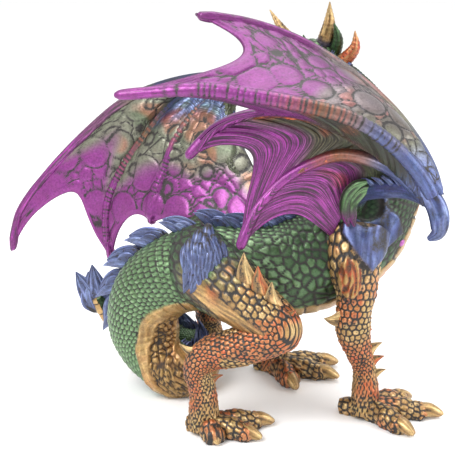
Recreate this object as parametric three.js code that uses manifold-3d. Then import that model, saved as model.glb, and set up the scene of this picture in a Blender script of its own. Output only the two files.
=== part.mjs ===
// A cast dragon statue that stands on its four feet and the loop of its tail, wings half spread.
// Millimetres, +Z up. The ground is Z = 0, the dragon walks along +X, its right side is -Y, and
// the origin lies on the ground under the middle of its box.
// Places are first given in a drawing frame seen from the dragon's right: X runs to the right of
// the drawing, Y away from it and Z up. The finished figure is turned by HEADING onto +X.
import * as THREE from "three";
import { mergeVertices } from "three/addons/utils/BufferGeometryUtils.js";
import Module from "manifold-3d";

// How far the walking direction points away from the drawing's X, in degrees.
const HEADING = 18;
// The drawing frame's point that comes to lie over the origin once the figure is turned.
const MIDDLE = [-0.87, 7.47];

// A station of a limb is x, y, z, half width, half height. The trunk's stations run from the back
// of the head to the tip of the tail and also say which way the back faces there.
const TRUNK = [
  [42, 22, 152, 8, 8.5, 0.5, -0.6, 0.7],
  [51, 17, 147, 9, 9, 0.6, -0.5, 0.7],
  [62, 14, 136, 9.5, 10, 0.5, -0.8, 0.5],
  [70, 12, 124, 10.5, 11, 0, -1, 0.2],
  [74, 11, 110, 12.5, 13, -0.8, -0.6, 0],
  [70, 9, 95, 16, 17, -1, -0.1, 0.4],
  [60, 7, 80, 19, 21, -0.7, 0, 1],
  [46, 4, 71, 20, 23, -0.3, 0, 1],
  [30, 1, 66, 20, 22.5, 0, 0, 1],
  [12, -2, 65, 19, 20, 0, 0, 1],
  [-6, -1, 66, 19, 19.5, -0.2, 0.1, 1],
  [-22, 3, 62, 18, 18, -0.5, 0.3, 1],
  [-34, 7, 53, 16.5, 17, -0.9, 0.5, 0.6],
  [-40, 9, 42, 15, 15.8, -0.9, 0.7, 0],
  [-39.5, 10, 30, 15, 15.5, -0.8, 0.8, -0.2],
  [-34, 8, 19, 13, 13.5, -0.5, 0.9, -0.3],
  [-23, 5, 12, 11.5, 12, -0.1, 1, 0.2],
  [-14.5, 10, 10.5, 9.5, 9.5, -0.3, 0.6, 0.8],
  [-13, 21, 13.5, 8.5, 8.5, 0.2, 0, 1],
  [-22, 29, 17, 8, 8, 0.1, 0.1, 1],
  [-34, 32, 18.5, 7, 7, 0, 0, 1],
  [-44, 33, 20.5, 6, 6, 0.4, 0, 1],
  [-51, 33, 24.5, 5.4, 5.4, 1, 0, 0.6],
  [-58, 32, 31, 4.4, 4.4, 1, 0, 0.3],
  [-63, 31, 39, 2.4, 2.4, 1, 0, 0.1],
];
const TRUNK_SIDES = 12;
const TRUNK_STEPS = 42;
// The belly carries cross plates: each swells and steps back once along its length.
const BELLY_PLATE_RISE = 0.9;
const BELLY_HALF_ANGLE = 50;

const LEGS = {
  hind_right: {
    limb: [
      [-14, 0, 69, 15, 17],
      [-9, -14, 69, 15, 17],
      [2, -27, 65, 13, 15],
      [13, -35, 59, 10.5, 11.5],
      [23, -41, 53, 8.5, 9],
      [20, -41, 49, 7.5, 8],
      [6, -38, 43, 7, 8.5],
      [-7, -34, 38, 6.5, 7.5],
      [-13, -33, 31, 6, 6.2],
      [-11, -33, 20, 5.6, 5.8],
      [-10, -34, 2, 6.8, 6.8],
    ],
    toes: [
      [-4, -49],
      [15, -44],
      [21, -28],
    ],
    heel: [-17, -31],
  },
  hind_left: {
    limb: [
      [-13, 4, 68, 15, 17],
      [-10, 16, 68, 15, 17],
      [3, 27, 62, 12, 13],
      [20, 35, 53, 9, 9.5],
      [20, 36, 48, 7.5, 8],
      [6, 39, 42, 7, 8],
      [-7, 42, 35, 6, 6],
      [-10, 44, 28, 5.6, 5.8],
      [-9, 46, 18, 5.4, 5.6],
      [-7, 47, 2, 6.6, 6.6],
    ],
    toes: [
      [10, 38],
      [14, 50],
      [5, 62],
    ],
    heel: [-15, 45],
  },
  fore_right: {
    limb: [
      [57, -6, 84, 13, 14],
      [56, -14, 74, 10, 12],
      [57, -18, 62, 8, 9],
      [56, -20, 52, 7, 7.6],
      [56, -20, 43, 6.4, 7.4],
      [59, -19, 32, 5, 5.6],
      [62, -18, 22, 4.4, 4.8],
      [63, -18, 2, 7, 7],
    ],
    toes: [
      [82, -41],
      [98, -21],
      [86, -2],
    ],
    heel: [52, -14],
  },
  fore_left: {
    limb: [
      [50, 20, 80, 11, 13],
      [42, 27, 66, 9, 11],
      [32, 31, 50, 7, 8],
      [29, 32, 42, 6.4, 7],
      [27, 32, 32, 5.4, 6],
      [24, 31, 21, 4.6, 5],
      [23, 31, 2, 6.8, 6.8],
    ],
    toes: [
      [33, 6],
      [54, 19],
      [55, 37],
    ],
    heel: [14, 35],
  },
};
const LIMB_SIDES = 7;
// Rings for every station of a limb.
const LIMB_STEPS = 1.7;
const TOE_RADIUS = 4.9;
const CLAW_LENGTH = 7;

// Each wing is a fan of fingers that leave the wrist, with a skin between neighbours.
// Fingers run from wrist to tip, and the last one is the skin's edge along the arm and flank.
const WINGS = {
  right: {
    fingers: [
      [
        [84, -60, 112],
        [80, -52, 128],
        [68, -38, 145],
        [50, -26, 160],
        [30, -22, 172],
        [9, -24, 180],
        [-12, -28, 184],
      ],
      [
        [84, -60, 112],
        [76, -62, 126],
        [63, -64, 140],
        [47, -65, 150],
        [28, -64, 155],
        [9, -62, 158],
        [-11, -60, 160],
        [-44, -56, 157],
      ],
      [
        [84, -60, 112],
        [75, -52, 121],
        [64, -42, 131],
        [48, -33, 138],
        [30, -28, 143],
        [11, -27, 143],
        [-5, -28, 137],
        [-17, -30, 125],
      ],
      [
        [84, -60, 112],
        [77, -53, 117],
        [66, -43, 124],
        [51, -34, 127],
        [39, -30, 124],
        [24, -28, 115],
        [12, -30, 102],
        [5, -34, 86],
      ],
      [
        [84, -60, 112],
        [76, -46, 114],
        [66, -32, 111],
        [57, -20, 105.5],
        [51, -17, 99],
        [48, -15, 92],
        [45, -13, 85],
      ],
    ],
    // How deep each skin's free edge is cut back between two tips, and how far the skin bellies.
    scallops: [0.2, 0.3, 0.22, 0.15],
    bellies: [4, 5, -3, -4],
    arm: [
      [50, -8, 95, 7, 8],
      [57, -17, 105.5, 4.6, 4.6],
      [67, -32, 112, 4, 4],
      [76, -46, 115, 3.8, 4],
      [83, -59, 114, 3.8, 4.2],
    ],
    claw: [
      [78, -59, 121, 3.4, 3.6],
      [83, -60, 113, 3.9, 4.2],
      [84.6, -61, 107, 3.6, 4],
      [84, -61, 102, 2.8, 3],
      [80.5, -61, 99.3, 1, 1.1],
    ],
  },
  left: {
    fingers: [
      [
        [2, 52, 141],
        [-12, 57, 141],
        [-30, 60, 137],
        [-50, 64, 128],
        [-71, 68, 110],
        [-90, 70, 90],
        [-105, 71, 70],
        [-110, 69, 50],
      ],
      [
        [2, 52, 141],
        [-10, 55, 137],
        [-25, 59, 130],
        [-40, 61, 112],
        [-52, 62, 94],
        [-59, 62, 78],
        [-60, 60, 62],
        [-58, 58, 48],
      ],
      [
        [2, 51, 141],
        [-6, 52, 134],
        [-15, 52, 126],
        [-25, 50, 112],
        [-30, 48, 98],
        [-35, 46, 86],
        [-37, 44, 72],
      ],
      [
        [2, 50, 141],
        [3, 45, 128],
        [6, 38, 115],
        [13, 29, 99],
        [8, 21, 82],
        [-8, 14, 66],
      ],
    ],
    scallops: [0.27, 0.14, 0.1],
    bellies: [4, 3, 3],
    arm: [
      [50, 20, 88, 8, 9],
      [30, 25, 90, 6, 6.5],
      [14, 29, 94, 4.6, 5],
      [2, 34, 104, 3.8, 4],
      [0, 42, 121, 3.6, 3.8],
      [2, 51, 141, 4.2, 4.4],
    ],
    claw: [
      [2, 51, 138, 3.6, 3.8],
      [5, 53, 144, 3.4, 3.6],
      [9, 54, 148, 2.6, 2.8],
      [14, 55, 145, 1, 1],
    ],
  },
};
const SKIN_THICKNESS = 2.2;
const FINGER_RADIUS = [3.4, 2.1];
// Where the columns of a panel's grid lie between its two fingers, and its rows along them.
const PANEL_COLUMNS = [0, 0.1, 0.36, 0.64, 0.9];
const FAN_ROWS = 11;
const FAN_START = 0.06;

// The head is turned over the left shoulder, away from the drawing.
const HEAD = {
  skull: [
    [44, 18, 151, 9, 8.5],
    [40, 24, 155, 10.5, 9.5],
    [36, 32, 155, 9.5, 8.5],
    [33, 41, 151, 7.5, 6.5],
    [30, 51, 148, 6, 5],
    [28, 58, 146, 4.6, 3.6],
  ],
  jaw: [
    [40, 25, 147, 7, 5],
    [36, 34, 144, 6, 3.6],
    [32, 45, 141, 4.6, 2.8],
    [29, 54, 140, 3, 2],
  ],
};
// A horn or spike is its middle line from root to tip and its root's half thickness.
const HORNS = [
  [[43, 24, 161], [45, 20, 172], [45, 18, 183], 4.2],
  [[32, 27, 161], [25, 26, 169], [19, 28, 178], 3.2],
  [[50, 18, 155], [56, 14, 163], [56, 13, 171], 3.6],
  [[31, 20, 154], [22, 16, 160], [20, 17, 168], 3],
  [[47, 24, 157], [49, 18, 166], [47, 15, 174], 3.4],
  [[37, 18, 160], [35, 10, 164], [33, 8, 170], 3.2],
  [[28, 57, 148], [28, 60, 153], [28, 57, 158], 2.4],
  [[45, 34, 150], [52, 30, 149], [57, 24, 152], 2.6],
  [[29, 30, 150], [22, 27, 149], [17, 20, 152], 2.6],
];

// Flat blades that stand along the back: place along the trunk from 0 to 1, and height.
const BACK_FINS = { first: 0.03, last: 0.93, count: 32 };
const FIN_HEIGHTS = [4, 4, 5, 7, 10, 13, 15, 14, 12, 10, 9, 8, 6];
// How far a fin rises and how far it is swept back, for a height of 1.
const FIN_RISE = 0.5;
const FIN_SWEEP = 0.95;
const FIN_PLACES = 240;
const LOWEST_FIN = 13;
const FIN_THICKNESS = 1.6;

// The leaf shaped blades on the haunches.
const TUFT = [
  [-15, -24, 69, -20, -26, 84],
  [-10, -26, 72, -15, -27, 91],
  [-5, -28, 72, -8, -28, 92],
  [-2, -29, 70, 0, -30, 85],
  [-9, -28, 66, -12, -32, 82],
];

// The tail ends in a forked spade.
const SPADE = [
  [-63, 32, 34, -73, 31, 52, 5],
  [-62, 32, 35, -65, 30, 56, 5],
  [-60, 32, 34, -55, 31, 53, 5],
];

// Spikes on the limbs: root, tip and half thickness.
const LIMB_SPIKES = [
  [9, -38, 72, 6.9, -41, 86.6, 4],
  [15, -40, 67, 12.8, -43, 81.4, 3.8],
  [20, -42, 62.5, 18.6, -45, 75.1, 3.4],
  [25, -43, 56.5, 28.7, -46, 62.6, 3],
  [-13, -34, 38, -21, -33, 42, 2.6],
  [-8, -34, 24, -2, -35, 28, 2.2],
  [51, -22, 50, 42.6, -25, 50.5, 3.8],
  [59, -20, 38, 64.3, -20, 43.5, 2.8],
  [62, -19, 31, 69, -20, 37, 3],
  [63, -18, 25, 70.3, -19, 30, 3],
  [64, -18, 18.5, 71.3, -19, 23.5, 2.8],
  [28, 34, 43, 19, 37, 44, 3],
  [31, 31, 34, 37, 31, 38, 2.2],
  [8, 35, 62, 13, 37, 71, 3],
  [16, 38, 57, 21, 40, 65, 2.8],
  [-10, 44, 36, -18, 46, 40, 2.6],
];

const WELD = 1e-3;

const wasm = await Module();
wasm.setup();

// The numbers at place t, from 0 to 1, along rows of numbers: a cubic spline through the rows.
function along(rows, t) {
  const last = rows.length - 1;
  const place = Math.min(Math.max(t, 0), 1) * last;
  const i = Math.min(Math.floor(place), last - 1);
  const f = place - i;
  const [b, c] = [rows[i], rows[i + 1]];
  const a = i > 0 ? rows[i - 1] : b.map((v, k) => 2 * v - c[k]);
  const d = i + 2 <= last ? rows[i + 2] : c.map((v, k) => 2 * v - b[k]);
  return b.map((v, k) => {
    const bend = 2 * a[k] - 5 * v + 4 * c[k] - d[k];
    const twist = -a[k] + 3 * v - 3 * c[k] + d[k];
    return v + 0.5 * f * (c[k] - a[k] + f * (bend + f * twist));
  });
}

// From the drawing frame to the part's own.
const drawingToPart = new THREE.Matrix4()
  .makeRotationZ(THREE.MathUtils.degToRad(-HEADING))
  .multiply(new THREE.Matrix4().makeTranslation(-MIDDLE[0], -MIDDLE[1], 0));

// A closed mesh, from its points in the drawing frame and its triangles, as a solid.
function solid(points, triangles) {
  const geometry = new THREE.BufferGeometry();
  geometry.setAttribute("position", new THREE.Float32BufferAttribute(points.flat(), 3));
  geometry.setIndex(triangles.flat());
  return weld(geometry.applyMatrix4(drawingToPart));
}

// A closed geometry as a solid, its points welded where they are closer than WELD.
function weld(geometry) {
  const merged = mergeVertices(geometry, WELD);
  return new wasm.Manifold(
    new wasm.Mesh({
      numProp: 3,
      vertProperties: merged.attributes.position.array,
      triVerts: new Uint32Array(merged.index.array),
    }),
  );
}

// The centre and the three directions of a limb's rings. Where the stations say which way the
// back faces, the rings follow that, and otherwise they are carried along without twist.
function frames(rows, steps, side) {
  let across = new THREE.Vector3(...side);
  return Array.from({ length: steps + 1 }, (_, k) => {
    const t = k / steps;
    const row = along(rows, t);
    const before = new THREE.Vector3(...along(rows, t - 0.004));
    const ahead = new THREE.Vector3(...along(rows, t + 0.004)).sub(before).normalize();
    if (row.length > 5) across = new THREE.Vector3(...row.slice(5)).cross(ahead);
    across = across.clone().addScaledVector(ahead, -across.dot(ahead)).normalize();
    return { t, row, centre: new THREE.Vector3(...row), ahead, across, up: ahead.clone().cross(across) };
  });
}

// A limb: oval rings carried along its stations, closed by a low cone at each end.
// swell(t, angle) may add to the radius; the angle runs from the left side over the top.
function limb(rows, options) {
  const { sides, steps, side, swell } = {
    sides: LIMB_SIDES,
    steps: Math.round(LIMB_STEPS * rows.length),
    side: [0, 1, 0],
    swell: () => 0,
    ...options,
  };
  const points = [];
  const triangles = [];
  const rings = frames(rows, steps, side);
  for (const { t, row, centre, across, up } of rings)
    for (let j = 0; j < sides; j++) {
      const angle = (2 * Math.PI * j) / sides;
      const more = swell(t, angle);
      const point = centre
        .clone()
        .addScaledVector(across, (row[3] + more) * Math.cos(angle))
        .addScaledVector(up, (row[4] + more) * Math.sin(angle));
      points.push(point.toArray());
    }
  const pole = ({ row, centre, ahead }, way) =>
    points.push(centre.clone().addScaledVector(ahead, way * 0.45 * row[3]).toArray()) - 1;
  const start = pole(rings[0], -1);
  const end = pole(rings[steps], 1);
  for (let j = 0; j < sides; j++) {
    const next = (j + 1) % sides;
    for (let k = 0; k < steps; k++) {
      const [a, b] = [k * sides + j, k * sides + next];
      triangles.push([a, b, b + sides], [a, b + sides, a + sides]);
    }
    triangles.push([start, next, j], [end, steps * sides + j, steps * sides + next]);
  }
  return solid(points, triangles);
}

// A spike, horn or claw: a curved cone from its root through a middle point to its tip.
function spike(root, bend, tip, half, { sides = 5, steps = 3, flat = 1, side = [0, 1, 0] } = {}) {
  const rows = [
    [...root, half, half * flat],
    [...bend, 0.7 * half, 0.7 * half * flat],
    [...tip, 0.22, 0.22],
  ];
  return limb(rows, { sides, steps, side });
}

// A straight spike, from six numbers and a half thickness.
function thorn([x, y, z, tx, ty, tz, half], options) {
  const middle = [(x + tx) / 2, (y + ty) / 2, (z + tz) / 2];
  return spike([x, y, z], middle, [tx, ty, tz], half, { sides: 4, steps: 1, ...options });
}

// The fan of a wing as one closed sheet: straight lines across from each finger to the next,
// bellied out between them, the free edge cut back to a scallop, and thickened along its normal.
// The sheet swells to a ridge along every finger but the last, which is only its edge.
function fan(fingers, scallops, bellies) {
  const panels = fingers.length - 1;
  const columns = [];
  for (let k = 0; k < panels; k++) for (const w of PANEL_COLUMNS) columns.push(k + w);
  columns.push(panels);
  const place = (s, v) => {
    const k = Math.min(Math.floor(v), panels - 1);
    const w = v - k;
    const arch = Math.sin(Math.PI * w);
    const reach = s * (1 - scallops[k] * arch ** 0.8);
    const [a, b] = [along(fingers[k], reach), along(fingers[k + 1], reach)];
    return new THREE.Vector3(...a.map((n, i) => n + (b[i] - n) * w));
  };
  const normalAt = (s, v) => {
    const down = place(Math.min(s + 0.03, 1), v).sub(place(s - 0.03, v));
    const over = place(s, Math.min(v + 0.06, panels)).sub(place(s, Math.max(v - 0.06, 0)));
    return down.cross(over).normalize();
  };
  const half = (s, v) => {
    const finger = Math.round(v);
    const ridge = Math.abs(v - finger) < 0.01 && finger < panels;
    const [thick, thin] = FINGER_RADIUS;
    return ridge ? thick + (thin - thick) * s ** 0.8 : SKIN_THICKNESS / 2;
  };
  const layers = [[], []];
  for (let i = 0; i <= FAN_ROWS; i++) {
    const s = FAN_START + (1 - FAN_START) * (i / FAN_ROWS);
    for (const v of columns) {
      const k = Math.min(Math.floor(v), panels - 1);
      const normal = normalAt(s, v);
      const lengthwise = Math.sin(Math.PI * Math.min(s + 0.1, 0.85));
      const rise = bellies[k] * Math.sin(Math.PI * (v - k)) * lengthwise;
      const point = place(s, v).addScaledVector(normal, rise);
      layers[0].push(point.clone().addScaledVector(normal, half(s, v)).toArray());
      layers[1].push(point.clone().addScaledVector(normal, -half(s, v)).toArray());
    }
  }
  const under = layers[0].length;
  const width = columns.length;
  const at = (i, j) => i * width + j;
  const triangles = [];
  const quad = (a, b, c, d) => triangles.push([a, b, c], [a, c, d]);
  for (let i = 0; i < FAN_ROWS; i++) {
    for (let j = 0; j < width - 1; j++) {
      quad(at(i, j), at(i + 1, j), at(i + 1, j + 1), at(i, j + 1));
      quad(at(i, j) + under, at(i, j + 1) + under, at(i + 1, j + 1) + under, at(i + 1, j) + under);
    }
    const [near, far] = [at(i, 0), at(i, width - 1)];
    quad(near, near + under, near + width + under, near + width);
    quad(far, far + width, far + width + under, far + under);
  }
  for (let j = 0; j < width - 1; j++) {
    const [root, free] = [at(0, j), at(FAN_ROWS, j)];
    quad(root, root + 1, root + 1 + under, root + under);
    quad(free, free + under, free + 1 + under, free + 1);
  }
  return solid([...layers[0], ...layers[1]], triangles);
}

// The trunk from the back of the head to the tip of the tail, with the belly's cross plates.
function trunk() {
  const plates = (t, angle) => {
    const fromBelow = Math.abs(angle - 1.5 * Math.PI);
    if (fromBelow > THREE.MathUtils.degToRad(BELLY_HALF_ANGLE)) return 0;
    return BELLY_PLATE_RISE * ((t * TRUNK_STEPS * 0.5) % 1 < 0.5 ? 1 : 0.2);
  };
  return limb(TRUNK, { sides: TRUNK_SIDES, steps: TRUNK_STEPS, swell: plates });
}

// The fins along the back: flat blades that lean towards the tail. There is none where the tail
// lies on its back.
function backFins() {
  const { first, last, count } = BACK_FINS;
  const rings = frames(TRUNK, FIN_PLACES, [0, 1, 0]);
  const fins = [];
  for (let k = 0; k < count; k++) {
    const place = first + ((last - first) * k) / (count - 1);
    const { t, row, centre, ahead, up } = rings[Math.round(place * FIN_PLACES)];
    if (centre.z + up.z * row[4] < LOWEST_FIN) continue;
    const height = along(FIN_HEIGHTS.map((h) => [h]), t)[0];
    const root = centre.clone().addScaledVector(up, row[4] - 1.5);
    const tip = root
      .clone()
      .addScaledVector(up, FIN_RISE * height + 1.5)
      .addScaledVector(ahead, FIN_SWEEP * height);
    const bend = root.clone().lerp(tip, 0.5).addScaledVector(up, 0.08 * height);
    const half = 0.42 * height;
    const shape = { side: ahead.toArray(), flat: FIN_THICKNESS / half, sides: 4, steps: 1 };
    fins.push(spike(root.toArray(), bend.toArray(), tip.toArray(), half, shape));
  }
  return fins;
}

// A leg: the limb, three clawed toes that arch from the ankle to the ground, and a heel.
function leg({ limb: rows, toes, heel }) {
  const parts = [limb(rows)];
  const [x, y] = rows[rows.length - 1];
  for (const [tx, ty] of toes) {
    const length = Math.hypot(tx - x, ty - y);
    const to = (f) => [x + (tx - x) * f, y + (ty - y) * f];
    const claw = 1 - CLAW_LENGTH / length;
    parts.push(
      limb(
        [
          [...to(0), 4, 4.2, 4.8],
          [...to(0.42), 3.9, 0.95 * TOE_RADIUS, 5.2],
          [...to(0.7), 2.9, 0.95 * TOE_RADIUS, 4.1],
          [...to(claw), 2.3, 0.8 * TOE_RADIUS, 3.4],
        ],
        { sides: 6, steps: 3 },
      ),
    );
    parts.push(
      spike([...to(claw - 0.05), 3.6], [...to(claw + 0.1), 4], [...to(1), 0.6], 2.6, { steps: 1 }),
    );
  }
  parts.push(
    limb(
      [
        [x, y, 4, 4.2, 4.8],
        [heel[0], heel[1], 2.7, 3.6, 3.9],
      ],
      { sides: 6, steps: 2 },
    ),
  );
  return parts;
}

// A wing: its arm, the fan of its fingers and skins, and the claw at the wrist.
function wing({ fingers, scallops, bellies, arm, claw }) {
  return [
    limb(arm, { steps: 7 }),
    fan(fingers, scallops, bellies),
    limb(claw, { sides: 6, steps: 5 }),
  ];
}

// The head: skull, lower jaw and the horns, which are also its brows, cheeks and nose horn.
function head() {
  const skull = limb(HEAD.skull, { sides: 10, steps: 10 });
  const jaw = limb(HEAD.jaw, { sides: 8, steps: 5 });
  return [skull, jaw, ...HORNS.map((horn) => spike(...horn))];
}

// Everything is cast as one, and the soles are cut flat on the ground.
function dragon() {
  const parts = [trunk(), ...head(), ...backFins()];
  for (const limbs of Object.values(LEGS)) parts.push(...leg(limbs));
  for (const sail of Object.values(WINGS)) parts.push(...wing(sail));
  for (const row of LIMB_SPIKES) parts.push(thorn(row, { flat: 0.7 }));
  for (const row of SPADE) parts.push(thorn(row, { flat: 0.4, side: [1, 0, 0] }));
  for (const row of TUFT) parts.push(thorn([...row, 3.6], { flat: 0.5, side: [1, 0, 0] }));
  const whole = parts.reduce((sum, part) => sum.add(part));
  const ground = new THREE.BoxGeometry(400, 400, 40).translate(0, 0, -20);
  ground.deleteAttribute("normal");
  ground.deleteAttribute("uv");
  // Welded once more, and without the crumbs that a weld leaves between crossing toes.
  const bodies = weld(shell(whole.subtract(weld(ground)))).decompose();
  return bodies.reduce((most, body) => (body.volume() > most.volume() ? body : most));
}

// The surface of a solid.
function shell(body) {
  const made = body.getMesh();
  const geometry = new THREE.BufferGeometry();
  geometry.setAttribute("position", new THREE.BufferAttribute(made.vertProperties, 3));
  return geometry.setIndex(new THREE.BufferAttribute(made.triVerts, 1));
}

// A solid as a named mesh with its finish.
function mesh(name, body, colour, roughness, metalness) {
  const material = new THREE.MeshStandardMaterial({ color: colour, roughness, metalness });
  const result = new THREE.Mesh(shell(body), material);
  result.name = name;
  return result;
}

const figure = new THREE.Group();
figure.add(mesh("dragon", dragon(), 0x5f7f4f, 0.38, 0.6));

export default figure;
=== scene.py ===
"""A cast dragon figurine in metallic paint under a dark wash, on a pale studio floor.

Places are in millimetres in a drawing frame seen from the dragon's right: X runs to the right,
Y away from the drawing and Z up. in_part() turns them into the part's own frame in metres.
"""

from types import SimpleNamespace

import bpy
import numpy as np
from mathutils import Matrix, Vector


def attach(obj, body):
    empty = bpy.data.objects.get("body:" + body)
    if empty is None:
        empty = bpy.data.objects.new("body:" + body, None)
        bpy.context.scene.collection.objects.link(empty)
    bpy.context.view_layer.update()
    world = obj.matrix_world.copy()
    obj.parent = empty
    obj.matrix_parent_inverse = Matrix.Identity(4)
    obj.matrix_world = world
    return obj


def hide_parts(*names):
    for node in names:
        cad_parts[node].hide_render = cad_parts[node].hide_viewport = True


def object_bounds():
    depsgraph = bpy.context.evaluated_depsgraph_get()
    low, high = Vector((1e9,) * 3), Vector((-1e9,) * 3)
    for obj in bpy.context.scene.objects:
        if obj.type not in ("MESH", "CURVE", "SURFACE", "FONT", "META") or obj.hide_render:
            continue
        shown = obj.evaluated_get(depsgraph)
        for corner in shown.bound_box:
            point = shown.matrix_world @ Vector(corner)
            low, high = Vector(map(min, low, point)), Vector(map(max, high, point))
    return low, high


MM = 0.001
HEADING = np.radians(18)
MIDDLE = np.array([-0.87, 7.47, 0.0])
DOWN, UP = 1.5 * np.pi, 0.5 * np.pi
# How far above the floor the lowest skins stay.
FLOOR_GAP = 0.05

# A station of a limb is x, y, z, half width, half height. The trunk's stations run from the back
# of the head to the tip of the tail and also say which way the back faces there.
TRUNK = [
    [42, 22, 152, 8, 8.5, 0.5, -0.6, 0.7], [51, 17, 147, 9, 9, 0.6, -0.5, 0.7],
    [62, 14, 136, 9.5, 10, 0.5, -0.8, 0.5], [70, 12, 124, 10.5, 11, 0, -1, 0.2],
    [74, 11, 110, 12.5, 13, -0.8, -0.6, 0], [70, 9, 95, 16, 17, -1, -0.1, 0.4],
    [60, 7, 80, 19, 21, -0.7, 0, 1], [46, 4, 71, 20, 23, -0.3, 0, 1],
    [30, 1, 66, 20, 22.5, 0, 0, 1], [12, -2, 65, 19, 20, 0, 0, 1],
    [-6, -1, 66, 19, 19.5, -0.2, 0.1, 1], [-22, 3, 62, 18, 18, -0.5, 0.3, 1],
    [-34, 7, 53, 16.5, 17, -0.9, 0.5, 0.6], [-40, 9, 42, 15, 15.8, -0.9, 0.7, 0],
    [-39.5, 10, 30, 15, 15.5, -0.8, 0.8, -0.2], [-34, 8, 19, 13, 13.5, -0.5, 0.9, -0.3],
    [-23, 5, 12, 11.5, 12, -0.1, 1, 0.2], [-14.5, 10, 10.5, 9.5, 9.5, -0.3, 0.6, 0.8],
    [-13, 21, 13.5, 8.5, 8.5, 0.2, 0, 1], [-22, 29, 17, 8, 8, 0.1, 0.1, 1],
    [-34, 32, 18.5, 7, 7, 0, 0, 1], [-44, 33, 20.5, 6, 6, 0.4, 0, 1],
    [-51, 33, 24.5, 5.4, 5.4, 1, 0, 0.6], [-58, 32, 31, 4.4, 4.4, 1, 0, 0.3],
    [-63, 31, 39, 2.4, 2.4, 1, 0, 0.1],
]
# Where the haunches end and the tail begins, along the trunk from 0 to 1.
TAIL_FROM = 0.46
# The length of a plate under the belly, and how finely the trunk, limbs and toes are meshed.
BELLY_PLATE = 5.2
TRUNK_PITCH = 0.62
LIMB_PITCH = {"right": 0.6, "left": 0.9}
TOE_PITCH = {"right": 0.5, "left": 0.7}

LEGS = {
    "hind_right": {
        "limb": [
            [-14, 0, 69, 15, 17], [-9, -14, 69, 15, 17], [2, -27, 65, 13, 15],
            [13, -35, 59, 10.5, 11.5], [23, -41, 53, 8.5, 9], [20, -41, 49, 7.5, 8],
            [6, -38, 43, 7, 8.5], [-7, -34, 38, 6.5, 7.5], [-13, -33, 31, 6, 6.2],
            [-11, -33, 20, 5.6, 5.8], [-10, -34, 2, 6.8, 6.8],
        ],
        "toes": [[-4, -49], [15, -44], [21, -28]],
        "heel": [-17, -31],
    },
    "hind_left": {
        "limb": [
            [-13, 4, 68, 15, 17], [-10, 16, 68, 15, 17], [3, 27, 62, 12, 13],
            [20, 35, 53, 9, 9.5], [20, 36, 48, 7.5, 8], [6, 39, 42, 7, 8], [-7, 42, 35, 6, 6],
            [-10, 44, 28, 5.6, 5.8], [-9, 46, 18, 5.4, 5.6], [-7, 47, 2, 6.6, 6.6],
        ],
        "toes": [[10, 38], [14, 50], [5, 62]],
        "heel": [-15, 45],
    },
    "fore_right": {
        "limb": [
            [57, -6, 84, 13, 14], [56, -14, 74, 10, 12], [57, -18, 62, 8, 9],
            [56, -20, 52, 7, 7.6], [56, -20, 43, 6.4, 7.4], [59, -19, 32, 5, 5.6],
            [62, -18, 22, 4.4, 4.8], [63, -18, 2, 7, 7],
        ],
        "toes": [[82, -41], [98, -21], [86, -2]],
        "heel": [52, -14],
    },
    "fore_left": {
        "limb": [
            [50, 20, 80, 11, 13], [42, 27, 66, 9, 11], [32, 31, 50, 7, 8], [29, 32, 42, 6.4, 7],
            [27, 32, 32, 5.4, 6], [24, 31, 21, 4.6, 5], [23, 31, 2, 6.8, 6.8],
        ],
        "toes": [[33, 6], [54, 19], [55, 37]],
        "heel": [14, 35],
    },
}
TOE_RADIUS = 4.9
CLAW_LENGTH = 9

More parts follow.
